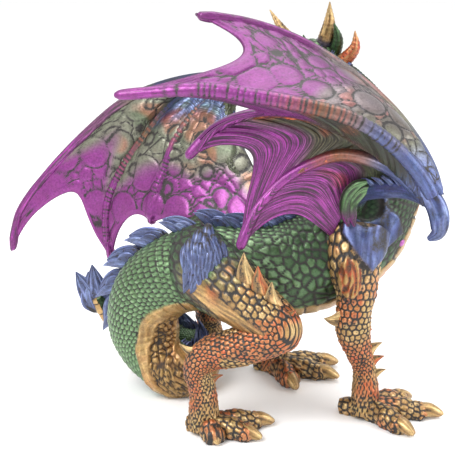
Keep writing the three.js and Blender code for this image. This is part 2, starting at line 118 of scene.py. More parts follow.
# Each wing is a fan of fingers that leave the wrist, with a skin between neighbours.
WINGS = {
    "right": {
        "fingers": [
            [[84, -60, 112], [80, -52, 128], [68, -38, 145], [50, -26, 160], [30, -22, 172],
             [9, -24, 180], [-12, -28, 184]],
            [[84, -60, 112], [76, -62, 126], [63, -64, 140], [47, -65, 150], [28, -64, 155],
             [9, -62, 158], [-11, -60, 160], [-44, -56, 157]],
            [[84, -60, 112], [75, -52, 121], [64, -42, 131], [48, -33, 138], [30, -28, 143],
             [11, -27, 143], [-5, -28, 137], [-17, -30, 125]],
            [[84, -60, 112], [77, -53, 117], [66, -43, 124], [51, -34, 127], [39, -30, 124],
             [24, -28, 115], [12, -30, 102], [5, -34, 86]],
            [[84, -60, 112], [76, -46, 114], [66, -32, 111], [57, -20, 105.5], [51, -17, 99],
             [48, -15, 92], [45, -13, 85]],
        ],
        "scallops": [0.2, 0.3, 0.22, 0.15],
        "bellies": [4, 5, -3, -4],
        # Which side of each skin, plus or minus, is the wing's back and carries the large cells.
        "back": [1, -1, -1, -1],
        "arm": [[50, -8, 95, 7, 8], [57, -17, 105.5, 4.6, 4.6], [67, -32, 112, 4, 4],
                [76, -46, 115, 3.8, 4], [83, -59, 114, 3.8, 4.2]],
        "claw": [[78, -59, 121, 3.4, 3.6], [83, -60, 113, 3.9, 4.2], [84.6, -61, 107, 3.6, 4],
                 [84, -61, 102, 2.8, 3], [80.5, -61, 99.3, 1, 1.1]],
    },
    "left": {
        "fingers": [
            [[2, 52, 141], [-12, 57, 141], [-30, 60, 137], [-50, 64, 128], [-71, 68, 110],
             [-90, 70, 90], [-105, 71, 70], [-110, 69, 50]],
            [[2, 52, 141], [-10, 55, 137], [-25, 59, 130], [-40, 61, 112], [-52, 62, 94],
             [-59, 62, 78], [-60, 60, 62], [-58, 58, 48]],
            [[2, 51, 141], [-6, 52, 134], [-15, 52, 126], [-25, 50, 112], [-30, 48, 98],
             [-35, 46, 86], [-37, 44, 72]],
            [[2, 50, 141], [3, 45, 128], [6, 38, 115], [13, 29, 99], [8, 21, 82], [-8, 14, 66]],
        ],
        "scallops": [0.27, 0.14, 0.1],
        "bellies": [4, 3, 3],
        "back": [1, 1, 1],
        "arm": [[50, 20, 88, 8, 9], [30, 25, 90, 6, 6.5], [14, 29, 94, 4.6, 5],
                [2, 34, 104, 3.8, 4], [0, 42, 121, 3.6, 3.8], [2, 51, 141, 4.2, 4.4]],
        "claw": [[2, 51, 138, 3.6, 3.8], [5, 53, 144, 3.4, 3.6], [9, 54, 148, 2.6, 2.8],
                 [14, 55, 145, 1, 1]],
    },
}
SKIN_THICKNESS = 2.2
FINGER_RADIUS = [3.4, 2.1]
FAN_START = 0.06
LARGE_CELL, SMALL_CELL = 15.0, 5.6

HEAD = {
    "skull": [[44, 18, 151, 9, 8.5], [40, 24, 155, 10.5, 9.5], [36, 32, 155, 9.5, 8.5],
              [33, 41, 151, 7.5, 6.5], [30, 51, 148, 6, 5], [28, 58, 146, 4.6, 3.6]],
    "jaw": [[40, 25, 147, 7, 5], [36, 34, 144, 6, 3.6], [32, 45, 141, 4.6, 2.8],
            [29, 54, 140, 3, 2]],
}
# The head's own left, as seen by the dragon.
HEAD_SIDE = (-1.0, -0.4, 0.0)
# A horn is its middle line from root to tip, its root's half thickness, and its paints.
HORNS = [
    [[43, 24, 161], [45, 20, 172], [45, 18, 183], 4.2, "gold"],
    [[32, 27, 161], [25, 26, 169], [19, 28, 178], 3.2, "gold"],
    [[50, 18, 155], [56, 14, 163], [56, 13, 171], 3.6, "orange"],
    [[31, 20, 154], [22, 16, 160], [20, 17, 168], 3.0, "orange"],
    [[47, 24, 157], [49, 18, 166], [47, 15, 174], 3.4, "green"],
    [[37, 18, 160], [35, 10, 164], [33, 8, 170], 3.2, "green"],
    [[28, 57, 148], [28, 60, 153], [28, 57, 158], 2.4, "gold"],
    [[45, 34, 150], [52, 30, 149], [57, 24, 152], 2.6, "green"],
    [[29, 30, 150], [22, 27, 149], [17, 20, 152], 2.6, "green"],
]

BACK_FINS = {"first": 0.03, "last": 0.93, "count": 32}
FIN_HEIGHTS = [4, 4, 5, 7, 10, 13, 15, 14, 12, 10, 9, 8, 6]
# How far a fin rises and how far it is swept back, for a height of 1.
FIN_RISE = 0.5
FIN_SWEEP = 0.95
LOWEST_FIN = 13
# Between two fins stands a smaller one where the crest is no taller than this.
TALLEST_BETWEEN = 8
# A fin's strands: lean across, size, slide along and half width, all for a height of 1.
STRANDS = [(0.0, 1.0, 0.0, 0.42), (0.1, 0.86, 0.3, 0.17), (-0.1, 0.9, 0.18, 0.17),
           (0.13, 0.66, -0.25, 0.19), (-0.13, 0.7, -0.3, 0.19), (-0.2, 0.5, 0.05, 0.2),
           (0.2, 0.5, 0.0, 0.2)]
# How wide a blade is along its length, next to its widest.
BLADE_WIDTHS = {
    "fin": [0.9, 1.0, 0.93, 0.78, 0.56, 0.3, 0.05],
    "leaf": [0.6, 0.95, 1.0, 0.9, 0.7, 0.4, 0.06],
    "thorn": [1.0, 0.9, 0.76, 0.6, 0.42, 0.24, 0.05],
}
TUFT_LOBES = 34
# The left tuft sits this much lower than the right one.
TUFT_DROP = 8.0
GOLDEN_ANGLE = 2.39996
CURL = [[60, -27, 114, 0.8, 0.8], [55, -26, 112, 1.8, 2.2], [51.6, -24, 107.5, 2.2, 2.6],
        [50.5, -22, 101.5, 2.2, 2.6], [51, -21, 96.5, 2, 2.2], [52.5, -20, 91.7, 0.7, 0.7]]
SPADE = [
    [-63, 32, 34, -73, 31, 52, 5], [-62, 32, 35, -65, 30, 56, 5], [-60, 32, 34, -55, 31, 53, 5],
]
LIMB_SPIKES = [
    [9, -38, 72, 6.9, -41, 86.6, 4], [15, -40, 67, 12.8, -43, 81.4, 3.8],
    [20, -42, 62.5, 18.6, -45, 75.1, 3.4], [25, -43, 56.5, 28.7, -46, 62.6, 3],
    [-13, -34, 38, -21, -33, 42, 2.6], [-8, -34, 24, -2, -35, 28, 2.2],
    [51, -22, 50, 42.6, -25, 50.5, 3.8], [59, -20, 38, 64.3, -20, 43.5, 2.8],
    [62, -19, 31, 69, -20, 37, 3], [63, -18, 25, 70.3, -19, 30, 3],
    [64, -18, 18.5, 71.3, -19, 23.5, 2.8], [28, 34, 43, 19, 37, 44, 3],
    [31, 31, 34, 37, 31, 38, 2.2], [8, 35, 62, 13, 37, 71, 3], [16, 38, 57, 21, 40, 65, 2.8],
    [-10, 44, 36, -18, 46, 40, 2.6],
]

# Paints, as red, green and blue from 0 to 255.
PAINTS = {
    "green": (66, 96, 60),
    "dark_green": (34, 50, 34),
    "light_green": (112, 146, 100),
    # Pale green is used only as painted sparkle highlight on the tail's scale tops.
    "pale_green": (166, 194, 154),
    "olive": (84, 80, 62),
    "gold": (174, 138, 86),
    "light_gold": (212, 182, 128),
    "dark_gold": (96, 70, 42),
    "orange": (190, 86, 48),
    "blue": (76, 88, 134),
    "light_blue": (122, 134, 176),
    "dark_blue": (38, 45, 78),
    "magenta": (134, 52, 128),
    "light_magenta": (172, 98, 166),
    "grey_pink": (118, 104, 108),
    "lavender": (92, 104, 150),
    "pale_olive": (122, 122, 106),
    "wash": (24, 17, 13),
}
BLUES = ("dark_blue", "blue", "light_blue")
GOLDS = ("dark_gold", "gold", "light_gold")
# How deep the finest relief of the paint is, in metres.
BUMP_DEPTH = 0.0004


# Small helpers

def in_part(points):
    """Drawing frame millimetres to part frame metres: less MIDDLE, then turned by -HEADING."""
    x, y, z = np.moveaxis(np.asarray(points, float) - MIDDLE, -1, 0)
    c, s = np.cos(HEADING), np.sin(HEADING)
    return MM * np.stack([x * c + y * s, y * c - x * s, z], -1)


def unit(v):
    """The vectors at length 1."""
    return v / np.maximum(np.linalg.norm(v, axis=-1, keepdims=True), 1e-9)


def smooth(low, high, x):
    """0 below low, 1 above high, and 3f^2 - 2f^3 between."""
    f = np.clip((x - low) / (high - low), 0, 1)
    return f * f * (3 - 2 * f)


def band(x, rise, full, fade, gone):
    """0 up to rise, 1 from full to fade, and 0 again from gone on."""
    return smooth(rise, full, x) * smooth(gone, fade, x)


def bell(x, width):
    """1 where x is 0, falling off on both sides: e to the power -(x / width)^2."""
    return np.exp(-((x / width) ** 2))


def lay(under, over, f):
    """Under where f is 0 and over where f is 1."""
    return under * (1 - f) + over * f


def paint(name):
    """A paint's linear red, green and blue."""
    c = np.array(PAINTS[name]) / 255
    return np.where(c < 0.04045, c / 12.92, ((c + 0.055) / 1.055) ** 2.4)


def mix(a, b, f):
    """Paint a where f is 0 and paint b where f is 1."""
    a = paint(a) if isinstance(a, str) else a
    b = paint(b) if isinstance(b, str) else b
    f = np.clip(np.asarray(f), 0, 1)[..., None]
    return a * (1 - f) + b * f


def mix_tones(tones, first, second):
    """The second tone over the first by first, then the third over both by second."""
    return mix(mix(tones[0], tones[1], first), tones[2], second)


def ramp(x, stops):
    """A colour by place x along stops of (place, paint), blended straight between them."""
    places = [s[0] for s in stops]
    colours = np.array([paint(s[1]) for s in stops])
    return np.stack([np.interp(x, places, colours[:, k]) for k in range(3)], -1)


def along(rows, t):
    """The numbers at t, 0 to 1, along rows: the uniform cubic that passes through every row."""
    rows = np.asarray(rows, float)
    last = len(rows) - 1
    padded = np.vstack([2 * rows[0] - rows[1], rows, 2 * rows[-1] - rows[-2]])
    place = np.clip(t, 0, 1) * last
    i = np.minimum(place.astype(int), last - 1)
    f = (place - i)[..., None]
    a, b, c, d = (padded[i + k] for k in range(4))
    bend = 2 * a - 5 * b + 4 * c - d
    twist = 3 * b - a - 3 * c + d
    return b + 0.5 * f * (c - a + f * (bend + f * twist))


# Noise and cells

SHUFFLE = np.random.default_rng(11).permutation(4096)
CHANCE = np.random.default_rng(12).random((4096, 4))


def chance(i, j, k, seed):
    """Four random numbers, always the same, for each whole-numbered place i, j, k."""
    n = SHUFFLE[(k + 131 * seed) & 4095]
    n = SHUFFLE[(j + n) & 4095]
    return CHANCE[SHUFFLE[(i + n) & 4095]]


def noise(points, size, seed=0):
    """Soft noise, 0 to 1: random numbers at a lattice of the given size, blended smoothly."""
    p = np.asarray(points) / size
    i = np.floor(p).astype(int)
    f = p - i
    f = f * f * (3 - 2 * f)
    total = 0
    for step in np.ndindex(2, 2, 2):
        weight = np.prod([np.abs(1 - step[n] - f[..., n]) for n in range(3)], 0)
        total = total + weight * chance(*(i[..., n] + step[n] for n in range(3)), seed)[..., 0]
    return total


def patches(points, size, seed, low, high):
    """Noise as soft patches: 0 where it is under low and 1 where it is over high."""
    return smooth(low, high, noise(points, size, seed))


def streaks(a, b, size, seed):
    """Noise over two coordinates."""
    return noise(np.stack([a, 0 * a, b], -1), size, seed)


def nearest_cell(points, tries):
    """The cell of each point, out of tries of (centre, number): near is the distance to the
    nearest centre, edge the distance to the border half way to the next one, pick the number."""
    near = np.full(points.shape[:-1], 9.0)
    next_, pick = near.copy(), near.copy()
    first, second = np.zeros(points.shape), np.zeros(points.shape)
    for centre, number in tries:
        d = np.linalg.norm(points - centre, axis=-1)
        nearer = d < near
        between = ~nearer & (d < next_)
        next_ = np.where(nearer, near, np.where(between, d, next_))
        second = np.where(nearer[..., None], first, np.where(between[..., None], centre, second))
        first = np.where(nearer[..., None], centre, first)
        pick = np.where(nearer, number, pick)
        near = np.where(nearer, d, near)
    apart = np.maximum(np.linalg.norm(second - first, axis=-1), 1e-6)
    return SimpleNamespace(near=near, edge=(next_**2 - near**2) / (2 * apart), pick=pick,
                           centre=first)


def cells(points, size, seed=0, jitter=0.85):
    """Cells round scattered centres in space, measured in cell sizes."""
    p = np.asarray(points) / size
    home = np.floor(p).astype(int)

    def tries():
        for step in np.ndindex(3, 3, 3):
            i = home + np.array(step) - 1
            r = chance(i[..., 0], i[..., 1], i[..., 2], seed)
            yield i + 0.5 + jitter * (r[..., :3] - 0.5), r[..., 3]

    return nearest_cell(p, tries())


def rows_of_cells(u, v, wrap, seed=0, jitter=0.4):
    """Cells in rows over a surface: u counts the rows, v the cells along a row, every other row is
    moved by half a cell, and v meets itself after wrap cells. Ahead is the place along u."""
    home = np.floor(u).astype(int)

    def tries():
        for a, b in np.ndindex(3, 3):
            i = home + a - 1
            shift = 0.5 * (i & 1)
            j = np.floor(v - shift).astype(int) + b - 1
            r = chance(i, j % wrap, 0 * i, seed)
            yield np.stack([i + 0.5 + jitter * (r[..., 0] - 0.5),
                            j + 0.5 + shift + jitter * (r[..., 1] - 0.5)], -1), r[..., 3]

    cell = nearest_cell(np.stack([u, v], -1), tries())
    cell.ahead = u - cell.centre[..., 0]
    return cell


# Surfaces

def spine(rows, t, side):
    """The station at each t and the directions along, across and up there. The back's direction
    is the stations' own, or else side is carried along without twist."""
    rows = np.asarray(rows, float)
    row = along(rows, t)
    ahead = unit((along(rows, t + 0.004) - along(rows, t - 0.004))[:, :3])
    if rows.shape[1] > 5:
        across = np.cross(row[:, 5:8], ahead)
    else:
        across = np.empty_like(ahead)
        carried = np.array(side, float)
        for k, a in enumerate(ahead):
            carried = unit(carried - a * (carried @ a))
            across[k] = carried
    across = unit(across - ahead * (across * ahead).sum(-1, keepdims=True))
    return row, ahead, across, np.cross(ahead, across)


def tube(rows, pitch, side=(0, 1, 0), cap=0.45):
    """A closed skin of oval rings carried along the stations: half width across and half height
    up. The angle runs from the left side over the top, run is the way along in millimetres, and
    lap the same in turns. The normals come from the differences between neighbours."""
    rows = np.asarray(rows, float)
    probe = along(rows, np.linspace(0, 1, 80))
    length = np.linalg.norm(np.diff(probe[:, :3], axis=0), axis=1).sum()
    girth = np.pi * (probe[:, 3] + probe[:, 4]).max()
    rings, sides = max(int(length / pitch), 6), max(int(girth / pitch), 8)
    t = np.linspace(0, 1, rings)
    row, ahead, across, up = spine(rows, t, side)
    angle = np.arange(sides) * 2 * np.pi / sides
    width = (row[:, 3:4] * np.cos(angle))[..., None]
    height = (row[:, 4:5] * np.sin(angle))[..., None]
    points = row[:, None, :3] + across[:, None] * width + up[:, None] * height
    ends = [row[k, :3] + way * cap * row[k, 3] * ahead[k] for k, way in ((0, -1), (-1, 1))]
    step = np.linalg.norm(np.diff(row[:, :3], axis=0), axis=1)
    turn = np.pi * (row[:, 3] + row[:, 4])
    run = np.concatenate([[0], np.cumsum(step)])
    lap = np.concatenate([[0], np.cumsum(step / (0.5 * (turn[1:] + turn[:-1])))])
    normal = unit(np.cross(np.roll(points, -1, 1) - np.roll(points, 1, 1),
                           np.gradient(points, axis=0)))
    grid = np.ones((rings, sides))
    return SimpleNamespace(points=points, normal=normal, size=grid.shape, poles=ends,
                           t=t[:, None] * grid, angle=angle * grid, run=run[:, None] * grid,
                           lap=lap[:, None] * grid)


def turn_from(skin, way):
    """How far round a tube each point is from a direction, 0 to pi."""
    turn = np.abs(skin.angle - way)
    return np.minimum(turn, 2 * np.pi - turn)


def scales(skin, count, seed=0, jitter=0.4, pitch=1.0):
    """Rows of cells over a tube, count of them round it, as long as wide times pitch."""
    return rows_of_cells(skin.lap * count / pitch, skin.angle * count / (2 * np.pi), count, seed,
                         jitter)


def round_streaks(skin, stretch, size, seed):
    """Noise that goes round a tube without a seam and is drawn out along it."""
    turn = [np.cos(skin.angle) * 3, np.sin(skin.angle) * 3]
    return noise(np.stack([*turn, skin.run * stretch], -1), size, seed)


def raise_(skin, height):
    """Moves the skin out along its normals by height, in millimetres."""
    skin.points = skin.points + skin.normal * height[..., None]


def off_floor(skin):
    """Keeps the skin's points just above the floor."""
    skin.points[..., 2] = np.maximum(skin.points[..., 2], FLOOR_GAP)


def finish_skin(skin, colour, wash, strokes=0.0, flow=(0.0, 0.0)):
    """Gives a skin its paint, how much dark wash lies on it, how far it shows brush-fine strokes,
    and the coordinates along and across them in millimetres."""
    grid = np.ones(skin.size)
    skin.colour = colour * grid[..., None]
    skin.wash = np.clip(wash * grid, 0, 1)
    skin.strokes = strokes * grid
    skin.flow = np.stack([flow[0] * grid, flow[1] * grid], -1)
    return skin


# Pieces

def assemble(skins):
    """One set of points, quads, triangles and point values from several closed skins."""
    points, quads, triangles, values = [], [], [], []
    base = 0
    for skin in skins:
        n, m = skin.size
        ids = base + np.arange(n * m).reshape(n, m)
        beside = np.roll(ids, -1, 1)
        quads.append(np.stack([ids[:-1], beside[:-1], beside[1:], ids[1:]], -1).reshape(-1, 4))
        value = np.concatenate([skin.colour, skin.wash[..., None], skin.strokes[..., None],
                                skin.flow], -1)
        points.append(skin.points.reshape(-1, 3))
        values.append(value.reshape(n * m, -1))
        base += n * m
        if skin.poles is not None:
            poles = np.array(skin.poles)
            poles[:, 2] = np.maximum(poles[:, 2], FLOOR_GAP)
            points.append(poles)
            values.append(np.stack([value[0].mean(0), value[-1].mean(0)]))
            first, last = np.full(m, base), np.full(m, base + 1)
            triangles.append(np.stack([first, beside[0], ids[0]], -1))
            triangles.append(np.stack([last, ids[-1], beside[-1]], -1))
            base += 2
        else:
            half = np.arange(m // 2 - 1)
            for ring, way in ((ids[0], 1), (ids[-1], -1)):
                strip = np.stack([ring[half], ring[m - 1 - half], ring[m - 2 - half],
                                  ring[half + 1]], -1)
                quads.append(strip[:, ::way])
    return (np.concatenate(points), np.concatenate(quads),
            np.concatenate(triangles) if triangles else np.empty((0, 3), int),
            np.concatenate(values))


def piece(name, skins, material):
    """A mesh object of several closed skins that stands for the cast dragon's node."""
    points, quads, triangles, values = assemble(skins)
    mesh = bpy.data.meshes.new(name)
    mesh.vertices.add(len(points))
    mesh.vertices.foreach_set("co", np.clip(in_part(points), *LIMITS).ravel())
    corners = np.concatenate([quads.ravel(), triangles.ravel()])
    sizes = np.concatenate([np.full(len(quads), 4), np.full(len(triangles), 3)])
    mesh.loops.add(len(corners))
    mesh.loops.foreach_set("vertex_index", corners)
    mesh.polygons.add(len(sizes))
    mesh.polygons.foreach_set("loop_start", np.concatenate([[0], np.cumsum(sizes)[:-1]]))
    mesh.update(calc_edges=True)
    mesh.validate()
    mesh.shade_smooth()
    one = np.ones((len(points), 1))
    for attribute, kind, field, value in (
        ("paint", "FLOAT_COLOR", "color", np.hstack([values[:, :3], one])),
        ("wash", "FLOAT", "value", values[:, 3]),
        ("strokes", "FLOAT", "value", values[:, 4]),
        ("flow", "FLOAT_VECTOR", "vector", np.hstack([values[:, 5:7], 0 * one])),
    ):
        data = mesh.attributes.new(attribute, kind, "POINT").data
        data.foreach_set(field, value.ravel())
    mesh.materials.append(material)
    obj = bpy.data.objects.new(name, mesh)
    bpy.context.scene.collection.objects.link(obj)
    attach(obj, "root")
    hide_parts("dragon")
    print(name, len(quads) * 2 + len(triangles), "triangles")


# Materials

def wash_group():
    """Paint and wash to colour, metal, roughness and height: the wash lies in the hollows, broken
    up by grime, fine strokes carry more of it, and the paint varies and is flecked."""
    group = bpy.data.node_groups.new("paint_and_wash", "ShaderNodeTree")
    for way, sockets in (
        ("INPUT", {"Paint": "Color", "Wash": "Float", "Strokes": "Float", "Flow": "Vector",
                   "Place": "Vector"}),
        ("OUTPUT", {"Colour": "Color", "Metal": "Float", "Roughness": "Float",
                    "Height": "Float"}),
    ):
        for name, kind in sockets.items():
            group.interface.new_socket(name, in_out=way, socket_type="NodeSocket" + kind)
    nodes, links = group.nodes, group.links
    given, result = nodes.new("NodeGroupInput").outputs, nodes.new("NodeGroupOutput").inputs

    def math(operation, a, b=0.0, c=0.0, clamp=False):
        node = nodes.new("ShaderNodeMath")
        node.operation, node.use_clamp = operation, clamp
        for socket, value in zip(node.inputs, (a, b, c)):
            if isinstance(value, (int, float)):
                socket.default_value = value
            else:
                links.new(value, socket)
        return node.outputs[0]

    def scaled(value, by, plus, clamp=False):
        return math("MULTIPLY_ADD", value, by, plus, clamp)

    def texture(vector, **settings):
        node = nodes.new("ShaderNodeTexNoise")
        for name, value in settings.items():
            node.inputs[name].default_value = value
        links.new(vector, node.inputs["Vector"])
        return node.outputs["Fac"]

    grime = texture(given["Place"], Scale=260, Detail=5, Roughness=0.6)
    grit = texture(given["Place"], Scale=1000, Detail=4, Roughness=0.6)
    stretch = nodes.new("ShaderNodeMapping")
    stretch.inputs["Scale"].default_value = (0.075, 0.85, 1)
    links.new(given["Flow"], stretch.inputs["Vector"])
    stroke = texture(stretch.outputs["Vector"], Scale=1.0, Detail=3, Roughness=0.55)
    dark_stroke = math("MULTIPLY", scaled(stroke, -9.0, 4.7, True), given["Strokes"])
    light_stroke = math("MULTIPLY", scaled(stroke, 8.0, -4.2, True), given["Strokes"])

    spread = math("ADD", given["Wash"], scaled(grime, 0.8, -0.36))
    spread = math("ADD", spread, scaled(grit, 1.6, -0.78))
    cover = math("MAXIMUM", scaled(spread, 2.0, -0.55, True), math("MULTIPLY", dark_stroke, 0.9))
    hue = nodes.new("ShaderNodeHueSaturation")
    links.new(given["Paint"], hue.inputs["Color"])
    links.new(scaled(grime, 0.05, 0.475), hue.inputs["Hue"])
    value = math("ADD", scaled(grit, 1.5, 0.12), math("MULTIPLY", light_stroke, 0.9))
    links.new(value, hue.inputs["Value"])
    blend = nodes.new("ShaderNodeMix")
    blend.data_type = "RGBA"
    # Sockets 6 and 7 and output 2 are the Mix node's two colours and its colour result.
    links.new(cover, blend.inputs["Factor"])
    links.new(hue.outputs["Color"], blend.inputs[6])
    blend.inputs[7].default_value = (*paint("wash"), 1)
    links.new(blend.outputs[2], result["Colour"])
    links.new(math("MULTIPLY", math("SUBTRACT", 1.0, cover), 0.6), result["Metal"])
    rough = math("ADD", scaled(cover, 0.3, 0.34), scaled(grime, 0.16, -0.08))
    links.new(rough, result["Roughness"])
    ridges = scaled(grit, 0.45, math("MULTIPLY", stroke, given["Strokes"]))
    links.new(math("SUBTRACT", ridges, math("MULTIPLY", cover, 0.25)), result["Height"])
    return group


def painted(name, group, bump, coat):
    """A painted finish over the points' paint, wash, strokes and flow."""
    material = bpy.data.materials.new(name)
    material.use_nodes = True
    nodes, links = material.node_tree.nodes, material.node_tree.links
    shader = nodes["Principled BSDF"]
    shader.inputs["Coat Weight"].default_value = coat
    shader.inputs["Coat Roughness"].default_value = 0.25
    shared = nodes.new("ShaderNodeGroup")
    shared.node_tree = group
    for attribute, output in (("paint", "Color"), ("wash", "Fac"), ("strokes", "Fac"),
                              ("flow", "Vector")):
        node = nodes.new("ShaderNodeAttribute")
        node.attribute_name = attribute
        links.new(node.outputs[output], shared.inputs[attribute.capitalize()])
    place = nodes.new("ShaderNodeTexCoord")
    links.new(place.outputs["Object"], shared.inputs["Place"])
    relief = nodes.new("ShaderNodeBump")
    relief.inputs["Strength"].default_value = bump
    relief.inputs["Distance"].default_value = BUMP_DEPTH
    for output, socket in (("Colour", shader.inputs["Base Color"]),
                           ("Metal", shader.inputs["Metallic"]),
                           ("Roughness", shader.inputs["Roughness"]),
                           ("Height", relief.inputs["Height"])):
        links.new(shared.outputs[output], socket)
    links.new(relief.outputs["Normal"], shader.inputs["Normal"])
    return material


# The trunk

BELLY_HALF_ANGLES = [40, 42, 40, 36, 34, 36, 42, 48, 50, 50, 50, 52, 54, 52, 54, 62, 74, 70, 60, 50,
                     60, 75, 85, 85, 85]
# The shoulder plate's outline in drawing X and Z, and the round hollow above it.
SHOULDER_PLATE = [[50, 87], [62.2, 71.5], [78, 84], [76, 92], [62, 104], [52, 98]]
SHOULDER_EYE = [61, 98]
# The left shoulder lies beyond this Y, and its plate sits this much nearer the tail.
LEFT_OF, LEFT_PLATE_BACK = 12, 7


def inside_outline(x, z, outline):
    """How far each place lies inside a convex outline: the least distance to its straight sides."""
    deep = np.full(x.shape, 99.0)
    corners = np.array(outline, float)
    middle = corners.mean(0)
    for a, b in zip(corners, np.roll(corners, -1, 0)):
        out = np.array([b[1] - a[1], a[0] - b[0]])
        out = out / np.linalg.norm(out)
        out = out if (a - middle) @ out > 0 else -out
        deep = np.minimum(deep, (a[0] - x) * out[0] + (a[1] - z) * out[1])
    return deep


def shoulder_plate(skin, base, colour, wash, strokes, height):
    """Lays the blue plate over a shoulder: raised inside its outline, with a round green hollow
    that has a rolled rim."""
    x, y, z = np.moveaxis(base, -1, 0)
    x = np.where(y > LEFT_OF, x + LEFT_PLATE_BACK, x)
    deep = inside_outline(x, z, SHOULDER_PLATE)
    away = np.hypot(x - SHOULDER_EYE[0], z - SHOULDER_EYE[1])
    facing = smooth(0.05, 0.35, np.abs(skin.normal[..., 1]))
    on = smooth(-0.6, 0.9, deep) * facing
    eye = smooth(8.6, 7.4, away) * facing
    rim = bell(away - 8.6, 1.3) * facing
    height = lay(height, 1.7 + 0.25 * noise(base, 2.5, 5), on) + rim * 1.2 - 1.2 * eye * on
    streak = streaks(x, z * 0.2, 1.5, 3)
    plate = mix_tones(BLUES, 0.35 + 0.65 * smooth(0.2, 0.8, streak),
                      0.5 * smooth(0.55, 0.9, streak) + 0.4 * rim)
    colour = mix(colour, plate, on * (1 - eye) + rim * (1 - on))
    wash = lay(wash, 0.12 + 0.5 * smooth(0.5, 0.1, streak), on)
    wash = wash + (0.35 * bell(away - 7.2, 0.8) + 0.5 * bell(deep, 0.6)) * facing
    return colour, wash, strokes * (1 - on) + 0.35 * on * (1 - eye), height


def trunk_skin():
    """The whole trunk: rows of scales that overlap towards the tail on the back, ring scales on
    the flanks, cross plates on throat and belly, and a lumpy rim with grains within it under the
    tail."""
    skin = tube(TRUNK, TRUNK_PITCH)
    t, base = skin.t, skin.points
    below = turn_from(skin, DOWN)
    half = np.radians(along([[h] for h in BELLY_HALF_ANGLES], t)[..., 0])
    border = half + 0.1 * (noise(base, 7, 2) - 0.5)
    belly = smooth(border + 0.04, border - 0.04, below)
    tail = smooth(TAIL_FROM, TAIL_FROM + 0.05, t)

    back = scales(skin, 42, 1, 0.3, 1.05)
    lap = smooth(0.0, 0.25, back.edge) * (0.55 + 0.55 * back.ahead)
    flank = scales(skin, 32, 4, 0.8)
    ring = bell(flank.near - 0.3, 0.1) * (flank.pick > 0.62)
    dome = smooth(0.0, 0.3, flank.edge) * (0.4 + 0.6 * flank.pick) + 0.4 * ring
    on_flank = band(t, 0.22, 0.25, 0.375, 0.41) * smooth(0.4, 0.55, turn_from(skin, UP))
    top = lay(lap, dome, on_flank)
    outer_tail = band(t, 0.31, 0.42, 0.74, 0.82)
    back_groove = smooth(0.15, 0.02, back.edge) * (1 - 0.55 * outer_tail * smooth(0.56, 0.64, t))
    groove = lay(back_groove, smooth(0.1, 0.02, flank.edge), on_flank)

    plate = skin.run / BELLY_PLATE
    plate = plate - np.floor(plate)
    cross = smooth(0.0, 0.14, plate) * (1.0 - 0.5 * plate)
    grain = cells(base, 2.9, 6)
    grains = smooth(0.0, 0.3, grain.edge) * (1 - 0.6 * grain.near)
    rim = smooth(0.34, 0.2, np.abs(below - half + 0.2)) * tail * smooth(0.72, 0.67, t)
    rough = tail * smooth(half - 0.35, half - 0.5, below) * smooth(0.73, 0.69, t)
    under = lay(cross, grains, rough)
    under_wash = lay(smooth(0.1, 0.02, plate), 0.65 * smooth(0.1, 0.02, grain.edge), rough)

    lumps = noise(base, 6, 8) + 0.5 * noise(base, 2.5, 18)
    under_height = 0.9 * under * (1 - rim) + 0.5 * rough * grains + rim * (0.8 + 1.5 * lumps)
    height = lay((0.75 - 0.3 * on_flank) * top, under_height, belly)
    pale = outer_tail * (0.7 + 0.3 * smooth(0.5, 0.6, t)) * (0.8 + 0.4 * noise(base, 9, 19))
    dark_back = smooth(0.3, 0.18, t)
    shade = smooth(0.05, 0.75, top) * (1 - 0.4 * dark_back) + 0.3 * pale
    green = mix(mix("dark_green", "green", shade), "light_green", 0.6 * pale)
    lit = smooth(0.35, 1.0, top) * (0.3 + 0.7 * pale) * (1 - 0.8 * dark_back)
    # On the tail the green is partly lighter paint. The pale green laid on its scale tops is
    # painted sparkle highlight.
    green = mix(mix(green, "light_green", lit), "pale_green", 0.85 * pale * smooth(0.4, 0.9, top))
    tan = mix("dark_gold", "gold", smooth(0.0, 0.5, under + rim * 1.2))
    tan = mix(tan, "light_gold", 0.4 * smooth(0.6, 1.0, under) * (1 - rough) + 0.12 * rim)
    tan = mix(tan, "grey_pink", 0.35 * smooth(0.22, 0.12, t))
    tan = mix(tan, "orange", 0.45 * patches(base, 12, 9, 0.5, 0.75) * (1 - 0.6 * rim))
    colour = mix(green, tan, belly)
    wash = lay(0.9 * groove + 0.1 * on_flank, (1 - rim) * 0.85 * under_wash, belly)
    wash = (wash + 0.04 * rough + 0.06 + 0.22 * dark_back) * (1 - 0.7 * rim * belly)
    wash = wash + 0.4 * bell(below - border, 0.06) * patches(base, 4, 17, 0.6, 0.3)
    strokes = 0.35 * rim * belly
    colour, wash, strokes, height = shoulder_plate(skin, base, colour, wash, strokes, height)
    raise_(skin, height)
    off_floor(skin)
    return finish_skin(skin, colour, wash, strokes, (skin.run, skin.angle * 8))


def part_of(skin, first, last):
    """The rings of a finished skin from first up to last, closed at the middles of the cuts."""
    rows = slice(first, last)
    part = SimpleNamespace(**{name: getattr(skin, name)[rows]
                              for name in ("points", "colour", "wash", "strokes", "flow")})
    part.size = part.points.shape[:2]
    part.poles = [part.points[0].mean(0) if first else skin.poles[0],
                  part.points[-1].mean(0) if last < skin.size[0] else skin.poles[1]]
    return part


